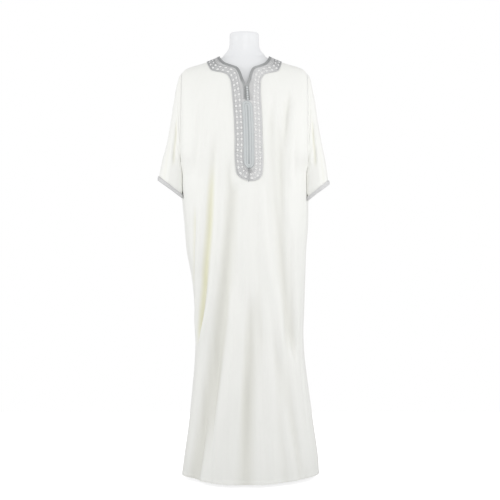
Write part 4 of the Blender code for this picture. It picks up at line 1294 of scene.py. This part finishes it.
lanes = np.broadcast_to(neck_lanes[:, None], (2, 4, CORD_POINTS))
paths, normals = lay_on_front(lanes, ON_BAND + NECK_CORD * 0.8)
along = np.linspace(0, 1, CORD_POINTS)
side_tone = np.stack([1.0 - 0.35 * ease((along - 0.15) / 0.3), 1.0 - 0.7 * ease((along - 0.2) / 0.35)])
tones = side_tone[:, None] * LANE_TONE[:, None]
tones = tones + (BUTTON_TONE[..., None] - tones) * ease((along - 0.76) / 0.06)
tones = tones.reshape(-1, CORD_POINTS)
front_neck_cords = cords("neck_cords_front", paths, normals, NECK_CORD, tone=tones)
dress(front_neck_cords, grey_cord, "braid", "neck_cord_front")
s = np.linspace(0.0004, back_band.length - 0.0004, 120)
s, lanes = np.broadcast_arrays(s, neck_lanes[:, None])
paths, normals = back_band.at(s, ON_BAND + NECK_CORD * 0.8, from_inner=lanes)
back_neck_cords = cords("neck_cords_back", paths, normals, NECK_CORD, tone=LANE_TONE)
dress(back_neck_cords, grey_cord, "braid", "neck_cord_back")

# %% Filling cords
# Three more on each side fill the space up to the lattice, and thin out where that closes.
FILL_LOW, FILL_HIGH = neck_lanes[-1] + 0.0013, 0.0298  # in from the inner and from the outer edge
gap = np.interp(runs, front_band.run, front_band.width) - FILL_LOW - FILL_HIGH
lanes = FILL_LOW + gap[:, None] * (np.array([1, 3, 5]) / 6)[:, None]
paths, normals = lay_on_front(lanes, ON_BAND + 0.0006)
radius = np.broadcast_to(np.clip(gap / 6, 0.0002, 0.0013)[:, None], lanes.shape)
print("gap beside the lattice:", (gap.min() * 1000).round(1), "to", (gap.max() * 1000).round(1), "mm")
fill_tone = np.tile([0.2, 0.0, 0.1], 2)
fill_cords = cords("fill_cords", paths, normals, radius.reshape(-1, CORD_POINTS), tone=fill_tone)
dress(fill_cords, silver_thread, "embroidery")

# %% Outer cords and picots
EDGE_CORD, FINE_CORD, PICOT_THREAD = 0.00120, 0.00065, 0.00038
EDGE_LANE, FINE_LANES = 0.0010, np.array([0.0033, 0.0292])
EDGE_LIFT, FINE_LIFT, PICOT_LIFT = 0.0011, 0.0004, 0.0004
EDGE_SPACING, PICOT_PITCH = 0.0028, 0.0032  # between a cord's points, and between picots
PICOT_ROOT, PICOT_REACH, PICOT_HALF = 0.0002, 0.0014, 0.0009


def edge_trim(side):
    """A cord along the band's outer edge, two fine ones further in, and picots: each a half loop
    whose middle stands 1.6 mm out from the edge."""
    band = bands[side]
    many = int(band.length / EDGE_SPACING)
    s = np.linspace(0.0004, band.length - 0.0004, many)
    edge, normal = band.at(s, ON_CLOTH + EDGE_LIFT, from_outer=EDGE_LANE)
    tone = band_tone(s, band, 0.75)[None]
    outer_cord = cords(f"edge_cord_{side}", edge[None], normal[None], EDGE_CORD, tone=tone)
    dress(outer_cord, silver_thread, "embroidery")
    both = np.broadcast_to(s, (2, many))
    paths, normals = band.at(both, ON_BAND + FINE_LIFT, from_outer=FINE_LANES[:, None])
    tone = 0.1 + band_tone(both, band, 0.9)
    fine_cords = cords(f"fine_cords_{side}", paths, normals, FINE_CORD, 6, tone=tone)
    dress(fine_cords, silver_thread, "embroidery")
    count = int(band.length / PICOT_PITCH)
    middle = (np.arange(count) + 0.5) * band.length / count
    arc = np.linspace(0, math.pi, 6)
    s = middle[:, None] - PICOT_HALF * np.cos(arc)
    lane = np.broadcast_to(-PICOT_ROOT - PICOT_REACH * np.sin(arc), s.shape)
    paths, normals = band.at(s, ON_CLOTH + PICOT_LIFT, from_outer=lane)
    picots = cords(f"picots_{side}", paths, normals, PICOT_THREAD, 4)
    return [outer_cord, fine_cords, dress(picots, silver_thread, "embroidery")]


edging = {side: edge_trim(side) for side in bands}

# %% [markdown]
# ## Lattice and ivory dots
# Between the cords, pairs of padded ivory dots march along the band, each in a ring of grey
# thread, and threads cross from dot to dot. A dot is a low dome, worked across its short way. They
# are real shapes, not a pattern of colour, because their small shadows make them stand out. There
# are many, so each has only a few dozen faces.

# %% Dots
DOT_PITCH = 0.0190
DOT_LANES = np.array([0.0094, 0.0226])
DOT_LONG, DOT_WIDE, DOT_HIGH, DOT_SINK = 0.0052, 0.0042, 0.0014, 0.0004
DOT_LIFT = np.array([0.0, 0.35, 0.62, 0.84, 0.97])  # a dome's rings, from its rim up
DOT_SPREAD = np.array([1.0, 0.95, 0.80, 0.52, 0.16])


def dots_on(side):
    """Run and lane of each dot, in two columns at the same heights."""
    band = bands[side]
    count = int(round(band.length / DOT_PITCH))
    s = (np.arange(count) + 0.5) * band.length / count
    return [v.ravel() for v in np.broadcast_arrays(s[:, None], DOT_LANES)]


def dots(side):
    """A dome over an ellipse, for every dot at once: each ring is the ellipse times its spread, at
    the dome's height times its lift."""
    s, lane = dots_on(side)
    turn = full_turn(12)
    along = s[:, None, None] + DOT_LONG * DOT_SPREAD[:, None] * np.cos(turn)
    across = lane[:, None, None] + DOT_WIDE * DOT_SPREAD[:, None] * np.sin(turn)
    points, _ = bands[side].at(along, ON_BAND + DOT_HIGH * DOT_LIFT[:, None], from_outer=across)
    base, _ = bands[side].at(s, ON_BAND - DOT_SINK, from_outer=lane)
    tips = np.stack([base, points[:, -1].mean(axis=1)], axis=1)
    uv = np.stack([along - s[:, None, None], across - lane[:, None, None]], axis=-1)
    uv = np.concatenate([uv, uv[:, :, :1]], axis=2)
    obj = tubes(f"dots_{side}", points, tips, uv)
    return dress(obj, ivory_thread, "embroidery")


# %% Rings and crossings
RING_THREAD, RING_ROOM, RING_LIFT = 0.00055, 0.0005, 0.0003
CROSSING_THREAD, CROSSING_BORDERS, CROSSING_LIFT = 0.0005, (0.0040, 0.0284), 0.00025
KNOT_THREAD, KNOT_RADIUS, KNOT_LIFT = 0.0009, 0.0013, 0.0009


def rings(side):
    """An ellipse of thread round each dot."""
    s, lane = dots_on(side)
    turn = full_turn(14)
    along = s[:, None] + (DOT_LONG + RING_ROOM) * np.cos(turn)
    across = lane[:, None] + (DOT_WIDE + RING_ROOM) * np.sin(turn)
    paths, normals = bands[side].at(along, ON_BAND + RING_LIFT, from_outer=across)
    tone = 0.35 + band_tone(s, bands[side], 0.65)
    obj = cords(f"rings_{side}", paths, normals, RING_THREAD, 4, closed=True, tone=tone)
    return dress(obj, silver_thread, "embroidery")


def crossings(side):
    """Straight threads from each dot to the next pair, across the middle and out to both borders,
    and a small round knot where two cross. A leg goes from a pitch and lane to a pitch and lane."""
    band, s = bands[side], dots_on(side)[0][::2]
    a, b, low, high = *DOT_LANES, *CROSSING_BORDERS
    legs = [(0, a, 1, b), (0, b, 1, a), (0, a, 0.5, low), (0.5, low, 1, a)]
    legs += [(0, b, 0.5, high), (0.5, high, 1, b)]
    from_s, from_lane, to_s, to_lane = np.array(legs).T[..., None]
    t = np.linspace(0, 1, 7)
    along = s[:-1, None, None] + (from_s + (to_s - from_s) * t) * (s[1] - s[0])
    lane = np.broadcast_to(from_lane + (to_lane - from_lane) * t, along.shape)
    along, lane = along.reshape(-1, len(t)), lane.reshape(-1, len(t))
    paths, normals = band.at(along, ON_BAND + CROSSING_LIFT, from_outer=lane)
    tone = 0.25 + band_tone(along[:, len(t) // 2], band, 0.75)
    threads = cords(f"crossings_{side}", paths, normals, CROSSING_THREAD, 5, tone=tone)
    dress(threads, silver_thread, "embroidery")
    along = (s[:-1] + s[1:])[:, None] / 2 + KNOT_RADIUS * np.cos(full_turn(10))
    lane = np.broadcast_to(DOT_LANES.mean() + KNOT_RADIUS * np.sin(full_turn(10)), along.shape)
    paths, normals = band.at(along, ON_BAND + KNOT_LIFT, from_outer=lane)
    tone = np.full(len(paths), 0.2)
    knots = cords(f"knots_{side}", paths, normals, KNOT_THREAD, 5, closed=True, tone=tone)
    return [threads, dress(knots, silver_thread, "embroidery")]


lattice = {side: [dots(side), rings(side), *crossings(side)] for side in bands}

# %% [markdown]
# ## Slit braid
# The slit is closed by a flat braid: cords laid as one loop inside another, round at the top and
# drawn together at the foot, where a knot holds them and a short tail hangs down. Each loop has the
# same path at its own half width, so one formula draws them all.

# %% Slit braid
BRAID_TOP_DROP, BRAID_FOOT_DROP, BRAID_HALF_WIDTH = 0.1830, 0.4170, 0.0190
BRAID_CORD, BRAID_SPACING, BRAID_LOOPS, BRAID_POINTS = 0.00125, 0.00262, 7, 180
BRAID_TONE = np.array([0.45, 0.0, 0.0, 0.35, 0.0, 0.0, 0.28])  # from the inmost loop out
BRAID_FOOT_TONE = np.array([0.55, 0.0, 0.0, 0.0, 0.0, 0.0, 0.45])  # more of it, low down
loop_half = (0.0013 + BRAID_SPACING * np.arange(BRAID_LOOPS))[:, None]
top, foot = BRAID_TOP_DROP + BRAID_HALF_WIDTH, BRAID_FOOT_DROP - BRAID_HALF_WIDTH
# Four quarters of a loop: over the top, down the right side, round the foot, up the left side.
quarter = np.arange(BRAID_POINTS) / BRAID_POINTS * 4
turn_top, turn_foot = np.clip(quarter, 0, 1) * np.pi, np.clip(quarter - 2, 0, 1) * np.pi
x = np.where(quarter < 2, -np.cos(turn_top), np.cos(turn_foot) * (1 - 0.3 * np.sin(turn_foot)))
straight = np.clip(quarter - 1, 0, 1) - np.clip(quarter - 3, 0, 1)
drop = top + (foot - top) * straight + loop_half * (np.sin(turn_foot) - np.sin(turn_top))
paths, normals = on_panel("front", loop_half * x + slit_x(drop), drop, ON_BAND + BRAID_CORD * 0.75)
tones = BRAID_TONE[:, None] + BRAID_FOOT_TONE[:, None] * ease((drop - 0.375) / 0.04)
slit_loops = cords("slit_braid_cords", paths, normals, BRAID_CORD, closed=True, tone=tones)
dress(slit_loops, braid_silk, "braid", "slit_braid")

# %% Arcs and tail under the braid
# Arcs of grey cord fill the crescent under the braid's foot, and the knot and tail lie over them.
ARC_CORD, ARC_LIFT, ARC_TONE = 0.00118, 0.0009, np.array([0.25, 0.05, 0.2, 0.05])
TAIL_FROM, TAIL_TO, TAIL_LIFT, TAIL_RADIUS = -0.005, 0.0435, 0.0034, 0.0013  # below the braid's foot
TACK_SWELL, TACK_FALL, TACK_REACH = 0.0026, 0.007, 0.0045  # the knot on the tail
arc_radius = np.array([0.0164, 0.0139, 0.0114, 0.0089])[:, None]
arc = np.radians([88, 80, 66, 46])[:, None] * np.linspace(-1, 1, 40)
drop = FOOT_CENTRE + arc_radius * np.cos(arc)
paths, normals = on_panel("front", slit_x(drop) + arc_radius * np.sin(arc), drop, ON_BAND + ARC_LIFT)
foot_arcs = cords("foot_arcs", paths, normals, ARC_CORD, tone=ARC_TONE)
dress(foot_arcs, silver_thread, "embroidery")
drop = BRAID_FOOT_DROP + np.linspace(TAIL_FROM, TAIL_TO, 36)[None]
fall = drop - drop[:, :1]
paths, normals = on_panel("front", slit_x(drop) + 0.0006 - 0.05 * fall, drop, ON_BAND + TAIL_LIFT)
swell = TAIL_RADIUS + TACK_SWELL * np.exp(-(((fall - TACK_FALL) / TACK_REACH) ** 2))
tone = 0.75 - 0.5 * ease(fall / 0.02)
tail = cords("slit_tail", paths, normals, swell, 10, flat=0.6, tone=tone)
dress(tail, grey_cord, "braid")

# %% [markdown]
# ## Knotted buttons and their loops
# Six tiny buttons, each a ball knotted from cord, sit in a row above the braid. A real knot's path
# would be lost at this size, so each is a ball whose radius swells along strands that wind round it
# both ways. A loop of cord comes from the left edge round each ball.

# %% Buttons
BUTTONS, BUTTON_RADIUS, BUTTON_PITCH = 6, 0.0036, 0.0080
FIRST_BUTTON_Z, BUTTON_ASIDE = 1.3540, 0.0030
BALL_RINGS, BALL_COLUMNS, POLE = 13, 22, 0.06  # POLE is the angle left open for each tip
button_z = FIRST_BUTTON_Z - BUTTON_PITCH * np.arange(BUTTONS)
button_x = slit_x(SHOULDER["z"][0] - button_z) + BUTTON_ASIDE
centres, _ = out_from("front", button_x, button_z, ON_BAND + SEAM_GAP + BUTTON_RADIUS)
lift, turn = np.linspace(POLE, np.pi - POLE, BALL_RINGS)[:, None], full_turn(BALL_COLUMNS)
strand = np.abs(np.sin(2 * turn + 3 * lift)) ** 0.7 * np.abs(np.sin(2 * turn - 3 * lift)) ** 0.7
radius = BUTTON_RADIUS * (0.88 + 0.14 * strand)
level_radius = radius * np.sin(lift)
ball = np.stack([level_radius * np.cos(turn), radius * np.cos(lift), level_radius * np.sin(turn)], -1)
round_it, down_it = np.arange(BALL_COLUMNS + 1) * 0.001, np.arange(BALL_RINGS) / BALL_RINGS
uv = np.stack(np.broadcast_arrays(round_it, down_it[:, None]), axis=-1)
for k, centre in enumerate(centres):
    points = centre + ball
    tips = np.stack([points[0].mean(axis=0), points[-1].mean(axis=0)])
    obj = tubes(f"knot_button_{k + 1}", points[None], tips[None], uv[None])
    dress(obj, braid_silk, "braid", f"button_{k + 1}")

# %% Button loops
LOOP_THREAD, LOOP_ROOT = 0.00070, 0.0105
LOOP_WIDE, LOOP_HIGH, ROOT_HIGH = 0.0045, 0.0034, 0.0009
arc = np.linspace(-0.80 * np.pi, 0.80 * np.pi, 21)
loop_x = np.concatenate([[-LOOP_ROOT], LOOP_WIDE * np.cos(arc), [-LOOP_ROOT]])
loop_z = np.concatenate([[-ROOT_HIGH], LOOP_HIGH * np.sin(arc), [ROOT_HIGH]])
x, z = button_x[:, None] + loop_x, button_z[:, None] + loop_z
paths, normals = out_from("front", x, z, ON_BAND + 1.8 * NECK_CORD + 0.0006)
button_loops = cords("button_loops", paths, normals, LOOP_THREAD, 6, tone=np.full(BUTTONS, 0.3))
dress(button_loops, grey_cord, "braid")

# %% [markdown]
# ## Cuffs
# Each cuff has a ribbon with two cords along each edge and a flat plait of three strands between
# them. A plait could be a bump map, but at the cuff's edge its outline shows. Each strand weaves
# from side to side as a sine of the run round the cuff, and over and under as a sine of twice that,
# a third of a turn behind the one before.


# %% Cuff lanes
CUFF_CORD, CUFF_LANES = 0.00115, np.array([0.0012, 0.0034, 0.0121, 0.0143])
PLAIT_STRAND, PLAIT_PERIOD, PLAIT_SWAY, PLAIT_RISE = 0.0012, 0.0085, 0.0027, 0.0005
CUFF_LIFT, PLAIT_LIFT = 0.0008, 0.0012
CUFF_COLUMNS, EDGE_POINTS, PERIOD_POINTS = 180, 240, 14
# Painted shade on the left cuff's cords and plait, the side away from the light.
LEFT_CUFF_SHADE, LEFT_PLAIT_SHADE = np.array([0.35, 0.0, 0.0, 0.35]), np.array([0.0, 0.1, 0.2])


def cuff_run(side):
    """Turns round the cuff's middle, finely spaced, and the run in metres at each of them."""
    turn = np.linspace(0, 2 * np.pi, 1441)
    return turn, run_along(sleeve_point(side, turn, np.full_like(turn, CUFF_WIDTH / 2)))


def lay_on_cuff(side, lanes, out):
    """Points at even runs round a cuff, in lanes (m, n) up from its edge, and their normals."""
    turn, run = cuff_run(side)
    s = np.arange(lanes.shape[1]) / lanes.shape[1] * run[-1]
    at = np.broadcast_to(np.interp(s, run, turn), lanes.shape)
    middle, normal = sleeve_frame(side, at, lanes)
    return middle + np.asarray(out)[..., None] * normal, normal


for side in sleeves:
    print(f"{side} cuff: {cuff_run(side)[1][-1]:.3f} m round")


# %% Cuffs
def cuff(side):
    """The ribbon is a wall over the sleeve's last rings. The cords keep to their lanes, and a
    strand's lane is the middle plus a sine of its phase."""
    reach, turn = np.meshgrid(np.linspace(CUFF_WIDTH, 0, 4), full_turn(CUFF_COLUMNS), indexing="ij")
    middle, normal = sleeve_frame(side, turn, reach)
    uv = lengths(np.concatenate([middle, middle[:, :1]], axis=1))
    ribbon = wall(f"cuff_ribbon_{side}", middle + ON_BAND * normal, middle + ON_CLOTH * normal, uv, True)
    dress(ribbon, ground_stitch, "braid", f"cuff_{side}")
    # Only the left cuff gets the painted shade.
    in_painted_shade = side == "left"
    lanes = np.broadcast_to(CUFF_LANES[:, None], (len(CUFF_LANES), EDGE_POINTS))
    paths, normals = lay_on_cuff(side, lanes, ON_BAND + CUFF_LIFT)
    tone = LEFT_CUFF_SHADE * in_painted_shade
    edges = cords(f"cuff_edges_{side}", paths, normals, CUFF_CORD, 6, closed=True, tone=tone)
    dress(edges, silver_thread, "braid")
    periods = int(round(cuff_run(side)[1][-1] / PLAIT_PERIOD))
    phase = full_turn(periods * PERIOD_POINTS) * periods + full_turn(3)[:, None]
    out = ON_BAND + PLAIT_LIFT + PLAIT_RISE * np.sin(2 * phase)
    paths, normals = lay_on_cuff(side, CUFF_WIDTH / 2 + PLAIT_SWAY * np.sin(phase), out)
    tone = LEFT_PLAIT_SHADE * in_painted_shade
    plait = cords(f"cuff_plait_{side}", paths, normals, PLAIT_STRAND, 6, closed=True, flat=0.8, tone=tone)
    dress(plait, silver_thread, "braid")
    return [ribbon, edges, plait]


cuffs = {side: cuff(side) for side in ("left", "right")}

# %% [markdown]
# ## Seam cords
# Each sleeve is joined to the body by a close hand-worked seam, which shows as a fine ivory cord.
# It is one closed cord round the sleeve's first ring, and it hides the joint between the pieces.

# %% Armhole seams
SEAM_CORD, SEAM_POINTS, SEAM_SINK, SEAM_INWARD = 0.0007, 240, 0.0001, 0.0002


def armhole_seam(side):
    """A cord on the sleeve's first ring, sunk a little into it and set towards the body."""
    length = sleeve_line(side, np.zeros(1))[3]
    ring = np.full((1, SEAM_POINTS), length)
    middle, normal = sleeve_frame(side, full_turn(SEAM_POINTS)[None], ring)
    inward = np.array([1.0 if side == "left" else -1.0, 0, 0])
    path = middle + (CLOTH / 2 - SEAM_SINK) * normal + SEAM_INWARD * inward
    seam = cords(f"armhole_seam_{side}", path, normal, SEAM_CORD, 6, closed=True)
    return dress(seam, ivory_thread, "cloth")


seams = {side: armhole_seam(side) for side in sleeves}

# %% [markdown]
# ## Hem stitches
# A row of small stitches holds the turned-up hem. Each is a short cord that rises from the cloth and
# goes back into it, spaced along the hem's own run, so that folds don't crowd them.

# %% Hem stitches
STITCH_THREAD, STITCH_PITCH, STITCH_HEIGHT = 0.00028, 0.0034, 0.0108
STITCH_RISE = np.array([-0.0001, 0.00018, -0.0001])
STITCH_PLACE = np.array([0.1, 0.35, 0.65])  # shares of the pitch
HEM_ENDS = 1.545  # the last stitches' angle, just short of the side seams


def hem_stitches(side):
    """Stitches of three points each, at one height just below the hem's turned edge."""
    angle = np.linspace(-HEM_ENDS, HEM_ENDS, 2000)
    w = 2 - STITCH_HEIGHT / (UNDERARM_Z - HEM_Z)
    run = run_along(body_point(side, angle, np.full_like(angle, w)))
    count = int(run[-1] / STITCH_PITCH)
    s = (np.arange(count)[:, None] + STITCH_PLACE) * run[-1] / count
    at = np.interp(s, run, angle)
    middle, normal = body_frame(side, at, np.full_like(at, w))
    paths = middle + (CLOTH / 2 + HEM_STEP + STITCH_RISE)[:, None] * normal
    obj = cords(f"hem_stitches_{side}", paths, normal, STITCH_THREAD, 4)
    return dress(obj, ivory_thread, "cloth")


hems = {side: hem_stitches(side) for side in bands}

# %% [markdown]
# ## Dress form
# A glossy white moulded torso with a neck stub and no limbs. A form like this is turned out of a
# mould, so it is one smooth stack of oval rings, close to the CAD model's, with a cap turned over a
# small round edge. Under the shoulders it follows the cloth that rests on it.

# %% Form
FORM = table(
    "z across front back squareness",
    [
        (0.740, 0.142, 0.076, 0.082, 2.2),
        (0.752, 0.150, 0.083, 0.089, 2.2),
        (0.860, 0.158, 0.094, 0.096, 2.2),
        (0.960, 0.148, 0.094, 0.090, 2.2),
        (1.040, 0.143, 0.099, 0.090, 2.2),
        (1.140, 0.156, 0.110, 0.098, 2.3),
        (1.230, 0.172, 0.113, 0.107, 2.3),
        (1.310, 0.192, 0.114, 0.104, 2.2),
        (1.360, 0.206, 0.106, 0.095, 2.1),
        (1.395, 0.2100, 0.096, 0.083, 2.0),
        (1.418, 0.2070, 0.088, 0.071, 2.0),
    ],
)
FORM_SHOULDERS = table(
    "z front back",
    [
        (1.4295, 0.0835, 0.0660),
        (1.4365, 0.0800, 0.0632),
        (1.4440, 0.0760, 0.0605),
        (1.4520, 0.0718, 0.0584),
        (1.4595, 0.0678, 0.0568),
        (1.4665, 0.0642, 0.0556),
    ],
)
FORM_NECK = table(
    "z across front back",
    [
        (1.4740, 0.0800, 0.0608, 0.0520),
        (1.4850, 0.0705, 0.0572, 0.0518),
        (1.4960, 0.0605, 0.0550, 0.0520),
        (1.5090, 0.0540, 0.0536, 0.0522),
        (1.5270, 0.0518, 0.0522, 0.0516),
        (1.5500, 0.0514, 0.0516, 0.0512),
        (1.5560, 0.0508, 0.0508, 0.0505),
        (1.5600, 0.0480, 0.0480, 0.0478),
    ],
)
SEAT_GAP = 0.0004  # between the form's shoulders and the cloth on them
FORM_SHOULDER_END = 0.2045
FORM_RINGS, FORM_COLUMNS, FORM_MAP_ROWS = 180, 96, 190  # the last: rows to the map's whole height
CAP = np.array([(0.985, 0.0003), (0.95, 0.0004), (0.6, 0.0004), (0.2, 0.0004)])  # share and height
print(f"form {FORM['z'][0]:.3f} to {FORM_NECK['z'][-1]:.3f} m high")


# %% Form rings
def form_sections():
    """Height, half width, front and back depth and squareness of each ring, from foot to neck."""
    across = np.linspace(0, SHOULDER["across"][-1], 600)
    z = FORM_SHOULDERS["z"]
    under = np.interp(-(z + CLOTH / 2 + SEAT_GAP), -shoulder_z(across), across)
    under = np.minimum(under, FORM_SHOULDER_END)
    table_rows = [tuple(r) for r in FORM]
    table_rows += [(r["z"], wide, r["front"], r["back"], 2.0) for r, wide in zip(FORM_SHOULDERS, under)]
    table_rows += [(*r, 2.0) for r in FORM_NECK]
    rows = np.array(table_rows)
    fine = np.interp(np.linspace(0, len(rows) - 1, FORM_RINGS), np.arange(len(rows)), rows[:, 0])
    return np.stack([fine] + [smooth(fine, rows[:, 0], rows[:, k]) for k in range(1, 5)], axis=-1)


def oval_rings(sections, columns):
    """x = across |cos|^(2/n), y = depth |sin|^(2/n), each with its sign, for every ring at once."""
    turn = full_turn(columns)[None]
    z, across, front_depth, back_depth, n = (sections[:, k : k + 1] for k in range(5))
    c, s = np.cos(turn), np.sin(turn)
    x = across * np.sign(c) * np.abs(c) ** (2 / n)
    y = np.where(s < 0, front_depth, back_depth) * np.sign(s) * np.abs(s) ** (2 / n)
    return np.stack([x, y, z + 0 * x], axis=-1)


form_rings = oval_rings(form_sections(), FORM_COLUMNS)
above = [form_rings[-1] * (s, s, 1) - (0, 0, d) for s, d in CAP]
below = [form_rings[0] * (s, s, 1) + (0, 0, d) for s, d in CAP[::-1]]
form_rings = np.concatenate([below, form_rings, above])
tips = np.stack([form_rings[0].mean(axis=0), form_rings[-1].mean(axis=0)])
round_it, up_it = np.arange(FORM_COLUMNS + 1) / FORM_COLUMNS, np.arange(len(form_rings)) / FORM_MAP_ROWS
uv = np.stack(np.broadcast_arrays(round_it, up_it[:, None]), axis=-1)
torso = tubes("torso_shell", form_rings[None], tips[None], uv[None])

# %% Form finishes
white_shell, tree, shader = finish(
    "white_shell", Specular_IOR_Level=0.45, Coat_Weight=0.25, Coat_Roughness=0.22
)
mottle = noise(tree, object_place(tree), 9.0, 3.0)
pores = noise(tree, object_place(tree), 320.0, 2.0)
colour = blend_colours(tree, mottle, (0.835, 0.845, 0.860, 1), (0.875, 0.882, 0.890, 1))
feed(tree, shader, Base_Color=colour, Roughness=remap(tree, mottle, (0.3, 0.7), (0.34, 0.44)))
bump(tree, shader, maths(tree, "MULTIPLY_ADD", mottle, 6.0, pores), 0.0002, 0.5)
dress(torso, white_shell, "shell", "form_torso")

steel, tree, shader = finish("brushed_steel", Metallic=1.0)
grain = noise(tree, object_place(tree), 1.0, 4.0, stretch=(30.0, 30.0, 900.0))
smear = noise(tree, object_place(tree), 14.0, 3.0)
colour = blend_colours(tree, smear, (0.52, 0.53, 0.54, 1), (0.66, 0.67, 0.68, 1))
rough = remap(tree, maths(tree, "MULTIPLY", grain, smear), (0.1, 0.4), (0.22, 0.42))
feed(tree, shader, Base_Color=colour, Roughness=rough)
bump(tree, shader, grain, 0.00008, 0.6)
for name in ("form_pole", "form_base"):
    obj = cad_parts[name]
    if not obj.material_slots:
        obj.data.materials.append(steel)
    for slot in obj.material_slots:
        slot.material = steel
print("form finishes:", white_shell.name, steel.name)

# %% [markdown]
# ## Cloth pieces
# The sheets of cloth are gathered in a list, and their names printed. Cloth doesn't stretch, and
# the pieces are not rectangles, so each panel's area was printed where it was made, and each
# sleeve's and cuff's size all round.

trim = [front_neck_cords, fill_cords, *edging["front"], *lattice["front"]]
trim += [slit_loops, foot_arcs, tail, button_loops]
trim = [back_neck_cords, *edging["back"], *lattice["back"]]
sheets = [front, back, *sleeves.values(), *grounds.values(), *(parts[0] for parts in cuffs.values())]
print("sheets:", ", ".join(obj.name for obj in sheets))

# %% [markdown]
# ## Stage and light
# A pale floor runs back to a white room. Light comes from all round, as in a white studio, because
# a single strong lamp would cast hard shadows on satin. Three large soft lamps, one in front and
# one at each side, make the chest a little brighter than the hem.

# %% Floor
FLOOR_REACH, FLOOR_GLOW = 1.8, 0.85
scene.view_settings.view_transform = "Standard"
floor_mesh = bpy.data.meshes.new("floor")
corners = [(x * FLOOR_REACH, y * FLOOR_REACH, 0) for x, y in ((-1, -1), (1, -1), (1, 1), (-1, 1))]
floor_mesh.from_pydata(corners, [], [(0, 1, 2, 3)])
floor = bpy.data.objects.new("floor", floor_mesh)
scene.collection.objects.link(floor)
paper, tree, shader = finish("floor_paper", Roughness=0.8, Emission_Color=(1, 1, 1, 1))
speck = noise(tree, object_place(tree), 60.0, 3.0)
colour = blend_colours(tree, speck, (0.60, 0.60, 0.60, 1), (0.64, 0.64, 0.64, 1))
glow = maths(tree, "MULTIPLY", node(tree, "LightPath").outputs["Is Camera Ray"], FLOOR_GLOW)
feed(tree, shader, Base_Color=colour, Emission_Strength=glow)
floor.data.materials.append(paper)
print(f"{floor.name}: {2 * FLOOR_REACH:.1f} m square")

# %% Room light
ROOM_LIGHT = 0.752
world = bpy.data.worlds.new("room")
scene.world = world
world.use_nodes = True
tree = world.node_tree
background = tree.nodes["Background"]
background.inputs["Color"].default_value = (1, 1, 1, 1)
seen = node(tree, "LightPath").outputs["Is Camera Ray"]
feed(tree, background, Strength=remap(tree, seen, (0.0, 1.0), (ROOM_LIGHT, 1.0)))
print(f"{world.name} light {ROOM_LIGHT}")


# %% Lamps
def lamp(name, place, aim, power, size):
    """A square area lamp that points from its place to its aim."""
    data = bpy.data.lights.new(name, "AREA")
    data.energy, data.size = power, size
    obj = bpy.data.objects.new(name, data)
    scene.collection.objects.link(obj)
    obj.location = place
    away = np.array(aim) - np.array(place)
    flat = math.hypot(away[0], away[1])
    obj.rotation_euler = (math.atan2(flat, -away[2]), 0, math.atan2(-away[0], away[1]))
    return obj


lamp("key_lamp", (0.45, -2.5, 1.95), (0, 0, 1.10), 6.9, 1.1)
lamp("left_lamp", (-1.9, -1.0, 1.25), (-0.2, 0, 1.10), 11.2, 1.3)
lamp("right_lamp", (1.9, -1.0, 1.25), (0.2, 0, 1.10), 11.2, 1.3)
